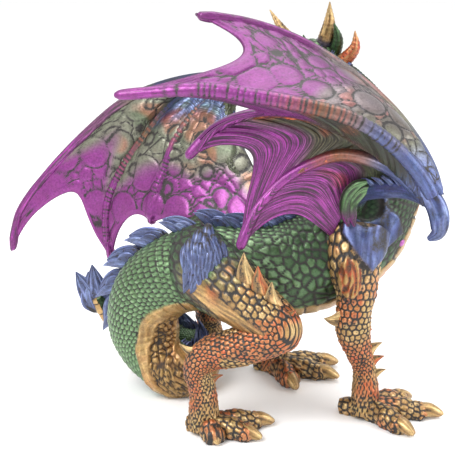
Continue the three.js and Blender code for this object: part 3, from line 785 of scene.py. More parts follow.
def blade(root, tip, half, thick, side, shape="fin", tones=BLUES, bow=0.0, lift=(0, 0, 1),
          pitch=0.75, seed=0):
    """A flat blade from root to tip: a lens-shaped section with the widths of its shape, bowed
    along lift, with strokes that run to the tip and paler edges."""
    root, tip = np.array(root, float), np.array(tip, float)
    wide = np.array(BLADE_WIDTHS[shape])
    f = np.linspace(0, 1, len(wide))[:, None]
    line = root + (tip - root) * f + bow * np.sin(np.pi * f) * np.array(lift, float)
    rows = np.column_stack([line, half * wide, thick * np.maximum(wide, 0.25)])
    skin = tube(rows, pitch, side=side)
    folds = 3 if shape == "thorn" else 9
    crease = 0.5 + 0.5 * np.sin(skin.angle * folds + 2.5 * noise(skin.points, 3, seed))
    edge = smooth(0.75, 1.0, np.abs(np.cos(skin.angle)))
    tone = 0.25 + 0.5 * crease * (1 - edge) + 0.35 * edge + 0.25 * skin.t
    dip = (1 - crease) * (1 - edge)
    raise_(skin, -0.28 * dip * smooth(0, 0.1, skin.t) * min(thick, 1.2))
    wash = 0.5 * dip + 0.5 * smooth(0.25, 0.0, skin.t) + 0.05
    return finish_skin(skin, mix_tones(tones, 2 * tone, 2 * tone - 1), wash, 0.6,
                       (skin.run, skin.angle * half))


def back_fins():
    """The crest: at each place a swept fin, with narrow strands lying over both of its faces."""
    t = np.linspace(BACK_FINS["first"], BACK_FINS["last"], 2 * BACK_FINS["count"] - 1)
    row, ahead, across, up = spine(TRUNK, t, (0, 1, 0))
    tall = along([[h] for h in FIN_HEIGHTS], t)[:, 0]
    crest = []
    rng = np.random.default_rng(4)
    for k in range(len(t)):
        between = k % 2 == 1
        if between and tall[k] > TALLEST_BETWEEN:
            continue
        h = tall[k] * rng.uniform(0.85, 1.08) * (0.88 if between else 1)
        foot = row[k, :3] + up[k] * (row[k, 4] - 1.5)
        if foot[2] < LOWEST_FIN:
            continue
        for n, (lean, size, slide, half) in enumerate(STRANDS[:3] if between else STRANDS):
            root = foot + across[k] * lean * h * 0.8 + ahead[k] * slide * h
            tip = (root + up[k] * (FIN_RISE * h * size + 1.5) + ahead[k] * FIN_SWEEP * h * size
                   + across[k] * lean * h * 0.4)
            crest.append(blade(root, tip, half * h, 0.65 if n else 0.8, ahead[k] + 0.001 * up[k],
                               "leaf" if n else "fin", bow=0.08 * h, lift=up[k], pitch=1.0,
                               seed=7 * k + n))
    return crest


# Limbs

def scaly(skin, count, seed, relief, warm):
    """Gold skin of ring scales with orange patches where warm is high: domed cells, some of them
    ringed round a small hollow, parted by dark grooves. Gives colour, wash and height."""
    base = skin.points
    cell = scales(skin, count, seed, 0.5)
    rings = cell.pick > 0.6
    ring = bell(cell.near - 0.3, 0.1) * rings
    pit = bell(cell.near, 0.15) * rings
    dome = smooth(0.0, 0.3, cell.edge) * (0.6 + 0.4 * cell.pick) + 0.35 * ring - 0.3 * pit
    grimy = 0.3 * patches(base, 4, seed + 5, 0.6, 0.8)
    colour = mix_tones(GOLDS, smooth(0.0, 0.5, dome),
                       0.95 * smooth(0.5, 1.0, dome) * (cell.pick * 3 % 1))
    patch = smooth(0.46, 0.7, noise(base, 9, seed + 3) + warm) * (0.55 + 0.45 * (cell.pick * 7 % 1))
    colour = mix(colour, "orange", 0.85 * patch * smooth(0.1, 0.6, dome))
    wash = 0.95 * smooth(0.19, 0.05, cell.edge) + 0.5 * pit + 0.02 + grimy
    return colour, wash, relief * dome


def near(skin, place, radius):
    """1 at a place of the drawing frame and 0 beyond the radius from it."""
    away = np.linalg.norm(skin.points - np.array(place, float), axis=-1)
    return smooth(radius, 0.35 * radius, away)


def shoulder_skin(skin, right, colour, wash, height):
    """The top of a fore leg: an oval boss of amber folds, and the plate over it."""
    x, _, z = np.moveaxis(skin.points, -1, 0)
    centre = (53.5, 69) if right else (40, 64)
    away = np.hypot((x - centre[0]) / 5.2, (z - centre[1]) / 9.5)
    outer = smooth(0.0, 0.4, (-1 if right else 1) * skin.normal[..., 1])
    oval = smooth(1.05, 0.85, away) * outer
    fold = streaks(1.1 * (x - centre[0]) + 2.2 * away, 0.22 * z, 1.0, 33)
    wave = smooth(0.25, 0.75, fold + 0.18 * np.sin(9 * away))
    amber = mix_tones(("dark_gold", "orange", "gold"), 0.3 + wave, smooth(0.45, 1, wave))
    colour = mix(colour, amber, oval)
    height = lay(height, np.sqrt(np.clip(1.1 - away**2, 0, 1)) + 0.6 * wave, oval)
    wash = lay(wash, 0.08 + 0.4 * (1 - wave), oval) + 0.5 * bell(away - 1.05, 0.1) * outer
    return shoulder_plate(skin, skin.points, colour, wash, 0.0, height)


def thigh_skin(skin, right, colour, wash, height):
    """The top of a hind leg, still the flank's green, with a smooth tendon down to the knee."""
    base = skin.points
    x, _, z = np.moveaxis(base, -1, 0)
    green = smooth(0.26, 0.18, skin.t + 0.06 * (noise(base, 6, 2) - 0.5))
    colour = mix(colour, mix("dark_green", "green", smooth(0.1, 0.6, height)), green)
    outer = smooth(0.0, 0.3, (-1 if right else 1) * skin.normal[..., 1])
    off_line = (z - (63 - 0.7 * (x - 2)) + 6) / 7.0
    tendon = band(skin.t, 0.08, 0.16, 0.34, 0.42) * np.exp(-(off_line**4)) * outer
    streak = streaks(0.25 * (x + z), 1.3 * (z + 0.7 * x), 1.6, 4)
    flesh = mix_tones(("dark_gold", "gold", "orange"), 0.3 + streak,
                      0.75 * patches(base, 8, 31, 0.45, 0.65))
    wash = lay(wash, 0.6 * smooth(0.45, 0.2, streak), tendon)
    height = lay(height, 0.9 + 0.5 * streak, tendon)
    return mix(colour, flesh, tendon), wash, 0.5 * tendon, height


def toe_skins(start, end, seed, pitch):
    """A scaly toe with knuckles from the foot's middle to its tip, and its claw."""
    start, end = np.array(start, float), np.array(end, float)
    claw = 1 - CLAW_LENGTH / np.hypot(*(end - start))

    def at(f, z, width, height):
        return [*(start + (end - start) * f), z, width, height]

    toe = tube([at(0, 4, 4.2, 4.8), at(0.42, 3.9, 0.95 * TOE_RADIUS, 5.2),
                at(0.7, 2.9, 0.95 * TOE_RADIUS, 4.1), at(claw, 2.3, 0.8 * TOE_RADIUS, 3.4)], pitch)
    knuckle = np.sin(toe.t * 3.4 * np.pi + 0.6) ** 2
    fold = 0.5 + 0.5 * np.sin(toe.run * 2 * np.pi / 2.6)
    colour, wash, height = scaly(toe, 10, 50 + seed, 0.5, 0.06 * knuckle - 0.06)
    warm_end = smooth(0.5, 1.0, toe.t) * patches(toe.points, 7, 60 + seed, 0.35, 0.6)
    colour = mix(colour, "orange", 0.6 * warm_end)
    # Wash deepens between the knuckles. The last term is painted shade that darkens each toe within
    # 3 mm of the floor.
    wash = (wash * 0.78 + 0.35 * (1 - knuckle) * (1 - fold)
            + 0.35 * smooth(3.0, 0.5, toe.points[..., 2]))
    raise_(toe, height + 0.55 * knuckle - 0.3)
    off_floor(toe)
    nail = claw_skin([at(claw - 0.14, 3.5, 3.3, 3.2), at(claw + 0.04, 4.1, 3.5, 3.4),
                      at(claw + 0.5 * (1 - claw), 3.5, 3.0, 2.9),
                      at(claw + 0.85 * (1 - claw), 2.3, 1.9, 1.8), at(0.98, 1.6, 0.9, 0.9)])
    return [finish_skin(toe, colour, wash), nail]


def leg_skins(name):
    """A leg: the scaly limb, three clawed toes with knuckles, and a heel."""
    leg, side = LEGS[name], name.split("_")[1]
    fore, right = name.startswith("fore"), side == "right"
    skin = tube(leg["limb"], LIMB_PITCH[side])
    warm = 0.2 * band(skin.points[..., 2], 2, 14, 34, 74) - 0.06
    if fore:
        warm = warm + 0.22 * near(skin, (58, -20, 34) if right else (28, 31, 38), 13)
    else:
        warm = warm + 0.25 * near(skin, (26, -46 if right else 40, 52), 17)
    scaled = scaly(skin, 18 if fore else 22, 20 + len(name), 0.6, warm)
    top = shoulder_skin if fore else thigh_skin
    colour, wash, strokes, height = top(skin, right, *scaled)
    raise_(skin, height)
    off_floor(skin)
    skins = [finish_skin(skin, colour, wash, strokes, (skin.run, skin.angle * 7))]
    x, y = leg["limb"][-1][:2]
    for n, toe in enumerate(leg["toes"]):
        skins += toe_skins((x, y), toe, n, TOE_PITCH[side])
    heel_x, heel_y = leg["heel"]
    heel = tube([[x, y, 4, 4.2, 4.8], [0.5 * (x + heel_x), 0.5 * (y + heel_y), 3.4, 4.2, 4.6],
                 [heel_x, heel_y, 2.7, 3.4, 3.7]], 0.6)
    colour, wash, height = scaly(heel, 8, 70, 0.5, 0.0)
    raise_(heel, height)
    off_floor(heel)
    return skins + [finish_skin(heel, colour, wash)]


def claw_skin(rows, tones=GOLDS, pitch=0.65, root_wash=0.9):
    """A claw: a smooth curved cone with lengthwise streaks, dark at its root."""
    skin = tube(rows, pitch)
    streak = round_streaks(skin, 0.15, 0.9, 3)
    off_floor(skin)
    wash = root_wash * smooth(0.22, 0.0, skin.t) + 0.5 * smooth(0.36, 0.18, streak)
    return finish_skin(skin, mix_tones(tones, 2 * streak, 2 * streak - 0.9), wash, 0.4,
                       (skin.run, skin.angle * 3))


def limb_spikes(right):
    """The blade-like spikes on the limbs of one side, gold with orange faces, their flats turned
    outward."""
    spikes = []
    for k, row in enumerate(LIMB_SPIKES):
        if (row[1] < 0) == right:
            root, tip, half = np.array(row[:3], float), np.array(row[3:6], float), row[6]
            side = unit(np.cross(tip - root, (0.1, 1, 0.1)))
            tones = ("dark_gold", "gold", "orange" if k % 2 else "light_gold")
            spikes.append(blade(root - 0.12 * (tip - root), tip, half * 1.35, half * 0.55, side,
                                "thorn", tones, bow=0.9, lift=side, pitch=0.65, seed=k))
    return spikes


def tuft():
    """The feathered boss on each haunch: lance-shaped lobes set round and round from its middle
    by the golden angle, a little unlike each other."""
    rng = np.random.default_rng(3)
    lobes = []
    for side, y, drop in ((-1, -22.0, 0.0), (1, 22.0, TUFT_DROP)):
        core = tube([[-8, y - side * 2, 65 - drop, 4, 3], [-8, y + side, 69 - drop, 9, 6],
                     [-8, y + side, 77 - drop, 10, 6.5], [-9, y, 83 - drop, 8, 5],
                     [-10, y - side * 2, 88 - drop, 2, 1.5]], 0.9, side=(1, 0, 0))
        lobes.append(finish_skin(core, paint("dark_blue"), 0.7))
        for k in range(TUFT_LOBES):
            f = (k + 0.5) / TUFT_LOBES
            a = k * GOLDEN_ANGLE
            east, north = np.sqrt(f) * np.cos(a), np.sqrt(f) * np.sin(a)
            bulge = np.sqrt(1 - f)
            middle = np.array([-9.5 + 9.4 * east, y + side * (3.2 + 5.6 * bulge - 1.5 * north),
                               76.5 - drop + 11.5 * north])
            reach = np.array([1.4 * east + rng.uniform(-1.4, 1.4), side * (1.2 - 1.0 * bulge),
                              -5.5 + rng.uniform(-1, 1)])
            lobes.append(blade(middle - reach, middle + reach + (0, side * 1.2, 0),
                               rng.uniform(2.2, 3.0), 1.5, (1, 0, 0), "leaf", BLUES, side * 1.6,
                               (0, 1, 0), 0.75, k))
    return lobes


# Wings

def fan_place(sail, s, v):
    """The middle of the fan: straight across from one finger to the next, the reach cut back
    between them to a scallop."""
    fingers, panels = sail["fingers"], len(sail["fingers"]) - 1
    k = np.minimum(np.floor(v).astype(int), panels - 1)
    w = v - k
    arch = np.sin(np.pi * w)
    reach = s * (1 - np.array(sail["scallops"])[k] * np.maximum(arch, 0) ** 0.8)
    points = np.zeros(s.shape + (3,))
    for n in range(panels):
        here = k == n
        a, b = along(fingers[n], reach[here]), along(fingers[n + 1], reach[here])
        points[here] = a + (b - a) * w[here][..., None]
    return points


def rounded_cells(points, s):
    """Large round cells with small ones filling the gaps between them, only small ones near the
    wrist: how deep each place lies inside its cell in mm, and the cell's number."""
    big = cells(points, LARGE_CELL, 41, 0.8)
    small = cells(points, SMALL_CELL, 43, 0.8)
    reach = 0.46 + 0.2 * big.pick - 0.6 * smooth(0.42, 0.2, s)
    in_big = LARGE_CELL * np.minimum(big.edge, 0.6 * (reach - big.near))
    outside = in_big < 0
    inside = np.where(outside, np.minimum(SMALL_CELL * small.edge, -in_big), in_big)
    return inside, np.where(outside, small.pick, big.pick)


def fan_skin(sail, paint_of, rows, per_panel):
    """A wing's fan as one closed sheet that goes round both of its faces and its two edges."""
    panels = len(sail["fingers"]) - 1
    v = np.linspace(panels, 0, panels * per_panel)
    edge = np.linspace(0, np.pi, 7)[1:-1]
    columns = np.concatenate([v, 0 * edge, v[::-1], 0 * edge + panels])
    face = np.concatenate([0 * v + 1, np.cos(edge), 0 * v - 1, -np.cos(edge)])
    out = np.concatenate([0 * v, -np.sin(edge), 0 * v, np.sin(edge)])
    s = np.linspace(FAN_START, 1, rows)
    s, v = np.meshgrid(s, columns, indexing="ij")
    face, out = face * np.ones_like(s), out * np.ones_like(s)
    points = fan_place(sail, s, v)
    down = fan_place(sail, np.minimum(s + 0.03, 1), v) - fan_place(sail, s - 0.03, v)
    over = (fan_place(sail, s, np.minimum(v + 0.06, panels))
            - fan_place(sail, s, np.maximum(v - 0.06, 0)))
    normal = unit(np.cross(down, over))
    k = np.minimum(np.floor(v).astype(int), panels - 1)
    w = v - k
    rise = (np.array(sail["bellies"])[k] * np.sin(np.pi * w)
            * np.sin(np.pi * np.minimum(s + 0.1, 0.85)))
    points = points + normal * rise[..., None]
    wide = np.linalg.norm(over, axis=-1) / 0.12 * np.where((v < 0.06) | (v > panels - 0.06), 2, 1)
    finger = np.round(v)
    off = np.abs(v - finger) * wide
    back = (np.sign(face) == np.array(sail["back"])[k]) | (np.abs(out) > 0.3)
    inside, pick = rounded_cells(points, s)
    inside = np.where(s > 0.97, 1.5, inside)
    # The front: shallow folds along the strokes, which follow the scalloped edge.
    wave = streaks(v * 2.4, s * 75, 1.6, 45)
    height = np.where(back, 0.42 * smooth(0.0, 1.1, inside) - 0.25, 0.9 * (wave - 0.5))
    taper = smooth(1.0, 0.965, s) * 0.5 + 0.5
    # Along each finger the sheet swells to the bone's side, so that the two run into each other.
    swell = 1.4 * smooth(4.5, 1.0, off) * (finger < panels)
    half = np.maximum((SKIN_THICKNESS / 2 + swell + height * (np.abs(face) > 0.9)) * taper, 0.45)
    outward = unit(over - normal * (over * normal).sum(-1, keepdims=True))
    points = points + (normal * face[..., None] + outward * out[..., None]) * half[..., None]
    skin = SimpleNamespace(points=points, size=points.shape[:2], poles=None)
    grid = SimpleNamespace(s=s, v=v, k=k, w=w, back=back, on_bone=0 * s, rung=0 * s, wave=wave,
                           inside=inside, pick=pick, points=points, off=off)
    colour, wash, strokes = paint_of(grid)
    return finish_skin(skin, colour, wash, strokes, (v * 30, s * 150))


def finger_skins(sail, paint_of, cut):
    """The wing's bones: a round bar along every finger, ribbed across where cut says so, which
    ends in a blunt tip beyond the scallops."""
    skins = []
    places = np.concatenate([np.linspace(FAN_START, 0.93, 14), [0.965, 0.99, 1.0]])
    thick, thin = FINGER_RADIUS
    radius = ((thick + (thin - thick) * places**0.8)
              * np.interp(places, [0.9, 0.97, 0.992, 1.0], [1, 1.12, 0.95, 0.5]))
    for n in range(len(sail["fingers"]) - 1):
        line = along(sail["fingers"][n], places)
        least = (2.9 if cut[n] > 0.5 else 0) * smooth(1.0, 0.85, places)
        half = np.maximum(radius, least)
        skin = tube(np.column_stack([line, half, half]), 0.85)
        s = np.interp(skin.t * (len(places) - 1), np.arange(len(places)), places)
        rung = 0.5 + 0.5 * np.sin(2 * np.pi * skin.run / 2.2 + 1.6 * noise(skin.points, 5, 47))
        deep = cut[n] * smooth(0.97, 0.9, s) * smooth(0.1, 0.3, s)
        raise_(skin, 0.32 * deep * (rung - 0.6))
        wave = streaks(skin.angle * 2, skin.run * 0.12, 1.1, 46 + n)
        colour, wash, strokes = paint_of(SimpleNamespace(
            s=s, v=0 * s + n, k=(0 * s + n).astype(int), w=0 * s, back=s < 0, on_bone=1 + 0 * s,
            rung=1 - deep * (1 - rung), wave=wave, inside=1.5 + 0 * s, pick=wave,
            points=skin.points, off=0 * s))
        skins.append(finish_skin(skin, colour, wash, strokes * (1 - 0.5 * deep),
                                 (skin.run, skin.angle * 3)))
    return skins


def pale_seams(g, colour, pale, at_seam, middle_highlight):
    """Paler paint between and round a wing's cells, and a painted highlight in each cell's middle.
    """
    return mix(colour, pale, at_seam * smooth(0.5, -0.4, g.inside) * g.back
               + middle_highlight * g.back * smooth(1.6, 4.0, g.inside))


def near_wing_paint(g):
    """Magenta tips and free edges, grey pink to lavender along the back, green and olive with
    orange along the bones on the front, blue at the wrist, and painted shade under the overhanging
    edge."""
    s = g.s + 0.14 * (noise(g.points, 14, 51) - 0.5)
    back = ramp(s, [(0.05, "blue"), (0.2, "lavender"), (0.33, "pale_olive"), (0.42, "grey_pink"),
                    (0.56, "grey_pink"), (0.66, "magenta")])
    back = mix(back, "olive", 0.45 * band(s, 0.28, 0.4, 0.5, 0.66) * smooth(0.5, 0.7, g.pick))
    back = mix(back, "orange", 0.3 * band(s, 0.3, 0.4, 0.5, 0.6) * smooth(0.5, 0.3, g.pick))
    back = back * (1 - 0.3 * smooth(0.5, 0.68, s))[..., None]
    upper = ramp(s, [(0.05, "dark_blue"), (0.2, "blue"), (0.28, "dark_green"), (0.42, "olive"),
                     (0.68, "olive"), (0.8, "magenta")])
    middle = ramp(s, [(0.24, "dark_blue"), (0.36, "dark_green"), (0.46, "olive"),
                      (0.7, "olive"), (0.8, "magenta")])
    lower = ramp(s, [(0.05, "blue"), (0.16, "dark_blue"), (0.32, "dark_blue"), (0.42, "olive"),
                     (0.5, "olive"), (0.6, "magenta")])
    panel = g.k[..., None]
    front = np.where(panel == 1, upper, np.where(panel == 2, middle, lower))
    # Painted shade: dark green and more wash on the second panel's front, darkest next to the
    # finger above it, which overhangs it.
    overhang_shade = smooth(0.6, 0.1, g.w) * (g.k == 1) * band(s, 0.12, 0.25, 0.55, 0.75)
    front = mix(front, "dark_green", 0.8 * overhang_shade * (1 - g.on_bone))
    front = mix(front, "green", 0.45 * patches(g.points, 10, 53, 0.4, 0.7)
                * band(s, 0.22, 0.3, 0.55, 0.66))
    warm = patches(g.points, 8, 52, 0.5, 0.72) * band(s, 0.34, 0.44, 0.66, 0.76)
    near_bone = smooth(5.0, 1.0, g.off) * (g.v > 1.5) * band(s, 0.38, 0.46, 0.66, 0.74)
    front = mix(front, "orange", np.clip(0.45 * warm + 0.5 * near_bone, 0, 0.75))
    colour = np.where(g.back[..., None], back, front)
    colour = pale_seams(g, colour, mix("light_blue", "light_magenta", smooth(0.5, 0.66, s)),
                        0.3, 0.12)
    bone = ramp(s, [(0.26, "blue"), (0.36, "grey_pink"), (0.5, "olive"), (0.66, "magenta")])
    bone = mix(bone, "orange", 0.4 * band(s, 0.32, 0.42, 0.58, 0.68) * g.rung)
    colour = mix(colour, np.where((g.v < 0.5)[..., None], back, bone), g.on_bone)
    line = bell(g.inside, 0.3) * g.back
    wash = np.where(g.back, 0.9 * line + 0.05,
                    0.2 * smooth(0.55, 0.3, g.wave) + 0.14 * smooth(0.75, 0.5, s) + 0.06)
    wash = lay(wash, 0.1 + 0.6 * smooth(0.4, 0.05, g.rung), g.on_bone)
    wash = wash + ((0.3 * overhang_shade + 0.2 * smooth(0.3, 0.2, s) * (g.k > 1))
                   * ~g.back * (1 - g.on_bone))
    return colour, wash, np.where(g.back, 0.1, 0.95) * (1 - 0.6 * g.on_bone)


def far_wing_paint(g):
    """Dark and silvery blue at the wrist, olive with green and orange in the middle, magenta
    towards the tips, with cells on the back."""
    s = g.s + 0.16 * (noise(g.points, 14, 61) - 0.5)
    # Beyond the first panel the blue of the wrist reaches further out.
    reach = s - 0.12 * smooth(0.9, 1.3, g.v)
    colour = ramp(reach, [(0.0, "dark_blue"), (0.15, "blue"), (0.25, "dark_blue"),
                          (0.33, "pale_olive")])
    colour = mix(colour, "magenta", smooth(0.63, 0.77, s))
    colour = mix(colour, "green", 0.45 * patches(g.points, 11, 62, 0.5, 0.7)
                 * band(s, 0.2, 0.3, 0.5, 0.62))
    colour = mix(colour, "orange", 0.35 * patches(g.points, 9, 63, 0.55, 0.75)
                 * band(s, 0.3, 0.4, 0.6, 0.7))
    colour = pale_seams(g, colour, mix("pale_olive", "light_magenta", smooth(0.55, 0.7, s)),
                        0.25, 0.08)
    bone = ramp(s, [(0.28, "dark_blue"), (0.38, "olive"), (0.6, "magenta")])
    bone = mix(bone, "orange", 0.35 * band(s, 0.25, 0.35, 0.5, 0.6) * g.rung * (g.v > 0.5))
    colour = mix(colour, bone, g.on_bone)
    silver = smooth(0.55, 0.7, streaks(g.v * 9, g.s * 9, 1.3, 64)) * smooth(0.32, 0.24, reach)
    colour = mix(colour, "light_blue", 0.8 * silver * (1 - g.on_bone))
    line = bell(g.inside, 0.28) * g.back * smooth(0.24, 0.32, reach)
    wash = np.where(g.back, 0.8 * line + 0.06, 0.2 * smooth(0.5, 0.3, g.wave) + 0.1)
    wash = lay(wash, 0.8 * smooth(0.45, 0.1, g.rung), g.on_bone)
    return colour, wash, np.where(g.back, 0.1 + 0.6 * smooth(0.32, 0.2, reach), 0.9)


def arm_skins(sail, seed, tones, far=False):
    """A wing's arm: scaly at the shoulder, smooth blue with curled lobes along its top towards
    the wrist, and the wrist's smooth hook."""
    rows = np.array(sail["arm"], float)
    row, ahead, across, up = spine(rows, np.linspace(0.34, 0.93, 8), (0, 1, 0))
    if far:
        # The far arm lies in the sheet: slimmer in the middle and set a little behind it.
        rows[2:5, 3:5] *= 0.68
        rows[2:5, 1] += 1.5
    skin = tube(rows, 0.75)
    cell = scales(skin, 16, seed, 0.5)
    dome = smooth(0.0, 0.25, cell.edge)
    scaled = np.maximum(smooth(0.3, 0.16, skin.t), 0.75 * far)
    streak = streaks(skin.angle * 3, skin.run * 0.1, 1.4, seed)
    colour = mix(mix_tones(tones, 0.5 + 1.5 * streak, 1.6 * streak - 0.9),
                 mix("dark_green", "green", dome), scaled * (1 - 0.6 * far))
    wash = lay(0.4 * smooth(0.35, 0.15, streak), 0.9 * smooth(0.18, 0.02, cell.edge), scaled)
    raise_(skin, lay(0.5 * (streak - 0.5), 0.6 * dome, scaled))
    skins = [finish_skin(skin, colour, wash, 0.5 * (1 - scaled), (skin.run, skin.angle * 3))]
    for k in range(0 if far else len(row)):
        for lean, size in ((1, 1.0), (-1, 0.8)):
            root = row[k, :3] + up[k] * (row[k, 4] - 1.4) - across[k] * lean * 1.4
            tip = root + (up[k] - ahead[k]) * 4.6 * size
            skins.append(blade(root, tip, 2.0, 1.0, ahead[k], "leaf", tones, 1.5, ahead[k], 0.7, k))
    return skins + [claw_skin(sail["claw"], BLUES, 0.5, 0.0)]


# The head

def horn_skin(root, bend, tip, half, tone):
    """A horn: a curved cone with rings that crowd towards its tip."""
    rows = [[*root, half, half], [*bend, 0.7 * half, 0.7 * half], [*tip, 0.25, 0.25]]
    skin = tube(rows, 0.55)
    ring = 0.5 + 0.5 * np.sin(skin.run * 2 * np.pi / 1.9 + 0.5 * np.cos(skin.angle))
    streak = round_streaks(skin, 0.3, 1.0, 2)
    dark, light = {"gold": ("dark_gold", "light_gold"), "orange": ("orange", "light_gold"),
                   "green": ("dark_green", "green")}[tone]
    colour = mix_tones((dark, tone, light), 2 * streak, 1.3 * streak - 0.5 + 0.3 * skin.t)
    if tone == "gold":
        root_paint = mix("dark_blue", "grey_pink", streak)
        colour = mix(colour, root_paint, smooth(0.32, 0.2, skin.t))
    raise_(skin, 0.18 * (ring - 0.5) * (skin.t < 0.9))
    wash = (0.3 * smooth(0.4, 0.1, ring) + 0.6 * smooth(0.15, 0.0, skin.t)
            + 0.35 * smooth(0.4, 0.25, streak))
    return finish_skin(skin, colour, wash, 0.4, (skin.run, skin.angle * 3))


def ball(centre, radii, tones, pitch=0.45, axis=(0, 0, 1)):
    """An egg-shaped form along an axis: rings whose radii follow half a circle."""
    axis = unit(np.array(axis, float))
    f = np.linspace(0, np.pi, 13)[1:-1]
    line = np.array(centre, float) - np.cos(f)[:, None] * axis * radii[2]
    rows = np.column_stack([line, np.sin(f) * radii[0], np.sin(f) * radii[1]])
    skin = tube(rows, pitch, side=(1, 0.3, 0.2), cap=0.12)
    return finish_skin(skin, mix(*tones, skin.t), 0.0)


def head_skins():
    """The head: scaly skull with brows, eyes and nostrils, jaw with teeth, horns and a crest."""
    skull = tube(HEAD["skull"], 0.45, side=HEAD_SIDE)
    cell = scales(skull, 26, 81, 0.55)
    dome = smooth(0.0, 0.25, cell.edge) * (1 - 0.4 * cell.near)
    t, over = skull.t, turn_from(skull, UP)
    ridge = bell(over - 0.95, 0.22) * band(t, 0.18, 0.3, 0.5, 0.62)
    bridge = bell(over, 0.3) * smooth(0.35, 0.5, t)
    socket = bell(over - 1.45, 0.25) * bell(t - 0.46, 0.07)
    nostril = bell(over - 0.8, 0.2) * bell(t - 0.93, 0.03)
    green = mix_tones(("dark_green", "green", "light_green"), smooth(0.1, 0.7, dome),
                      0.6 * smooth(0.6, 1, dome))
    colour = mix(green, mix("gold", "light_gold", dome), smooth(1.75, 2.1, over))
    colour = mix(colour, "orange", 0.4 * bridge + 0.5 * ridge * noise(skull.points, 5, 3))
    raise_(skull, 0.55 * dome + 2.0 * ridge + 0.9 * bridge - 2.2 * socket - 1.0 * nostril)
    wash = 0.9 * smooth(0.18, 0.02, cell.edge) + 0.9 * nostril + 0.5 * socket + 0.1
    skins = [finish_skin(skull, colour, wash)]
    jaw = tube(HEAD["jaw"], 0.5, side=HEAD_SIDE)
    cell = scales(jaw, 18, 83, 0.5)
    dome = smooth(0.0, 0.25, cell.edge)
    raise_(jaw, 0.4 * dome)
    skins.append(finish_skin(jaw, mix_tones(GOLDS, dome, 0.5 * dome * cell.pick),
                             0.85 * smooth(0.18, 0.02, cell.edge) + 0.1))
    row, _, across, up = spine(HEAD["skull"], np.array([0.46]), HEAD_SIDE)
    for out in (-across[0], across[0]):
        eye = row[0, :3] + out * (row[0, 3] - 1.4) + up[0] * 1.4
        skins.append(ball(eye, (2.0, 2.0, 2.1), ("orange", "light_gold"), 0.4, out))
        skins.append(ball(eye + out * 1.55, (0.35, 1.1, 0.75), ("wash", "wash"), 0.3, out))
    row, _, across, up = spine(HEAD["skull"], np.linspace(0.45, 0.97, 8), HEAD_SIDE)
    for k in range(len(row)):
        for way in (-1, 1):
            root = row[k, :3] + way * across[k] * (row[k, 3] * 0.72) - up[k] * (row[k, 4] * 0.6)
            tip = root - up[k] * (4.2 if k % 3 == 1 else 3.0) + way * across[k] * 0.4
            skins.append(claw_skin([[*root, 1.0, 1.0], [*(0.5 * (root + tip)), 0.75, 0.75],
                                    [*tip, 0.15, 0.15]], ("gold", "light_gold", "light_gold"),
                                   0.45))
    skins += [horn_skin(*horn) for horn in HORNS]
    rng = np.random.default_rng(5)
    for k in range(26):
        f = k / 25
        root = np.array([53 - 16 * f, 17 - f, 153.5 + 6.5 * f]) + rng.uniform(-1.6, 1.6, 3)
        tip = root + (0.6, -1.8, 4.2) + rng.uniform(-1.4, 1.4, 3)
        skins.append(blade(root, tip, 1.3, 0.9, (1, 0.4, 0), "thorn", bow=0.2, pitch=0.6, seed=k))
    return skins


# Small forms on the body

def body_details():
    """The curl of skin where the near wing leaves the back, the round gem in a ring of beads on
    the chest, and the tail's spade."""
    skins = []
    for inward, wide in ((0.0, 1.0), (2.6, 0.7)):
        rows = np.array(CURL, float) + np.array([[inward, 0, 0, 0, 0]])
        rows[:3, 2] -= inward
        rows[1:5, 3] *= wide
        curl = tube(rows, 0.5)
        streak = streaks(curl.angle * 2, curl.run * 0.12, 1.0, 5)
        colour = mix_tones(("dark_green", "green", "light_green"), 2 * streak, 1.6 * streak - 0.6)
        colour = mix(colour, "magenta", smooth(0.6, 0.85, curl.t))
        skins.append(finish_skin(curl, colour, 0.6 * smooth(0.45, 0.2, streak), 0.7,
                                 (curl.run, curl.angle * 3)))
    # The gem turns light magenta towards its outer face: a painted glint.
    skins.append(ball((77.2, -2.0, 78.5), (2.4, 2.4, 2.6), ("magenta", "light_magenta"), 0.45,
                      (0.8, -0.5, 0)))
    # Each bead is light gold on top and gold below: a painted highlight on its top.
    for a in np.arange(9) * 2 * np.pi / 9:
        around = 3.1 * np.array([0.53 * np.cos(a), 0.85 * np.cos(a), np.sin(a)])
        skins.append(ball((76.6, -1.6, 78.5) + around, (1.0, 1.0, 1.0), ("gold", "light_gold")))
    skins.append(blade((-61, 32, 32), (-67, 31, 52), 8.5, 1.8, (1, 0, 0.3), "leaf",
                       ("blue", "lavender", "light_blue"), -0.4, (0, 1, 0), 0.6, 1))
    for row in SPADE:
        skins.append(blade(row[:3], row[3:6], row[6] * 1.1, 1.5, (1, 0, 0), "leaf", bow=-0.4,
                           lift=(0, 1, 0), pitch=0.6, seed=int(row[3])))
    return skins


# The room

LOOK_AT = [0, 0, 84.5]
CAMERA_DISTANCE, CAMERA_RISE = 569, np.radians(18)
FLOOR_REACH = 6.0
LIGHTS = [("key", (-300, -380, 520), 0.35, 3.6), ("top", (60, 120, 620), 0.5, 2.4),
          ("side", (520, -160, 260), 0.4, 1.6)]


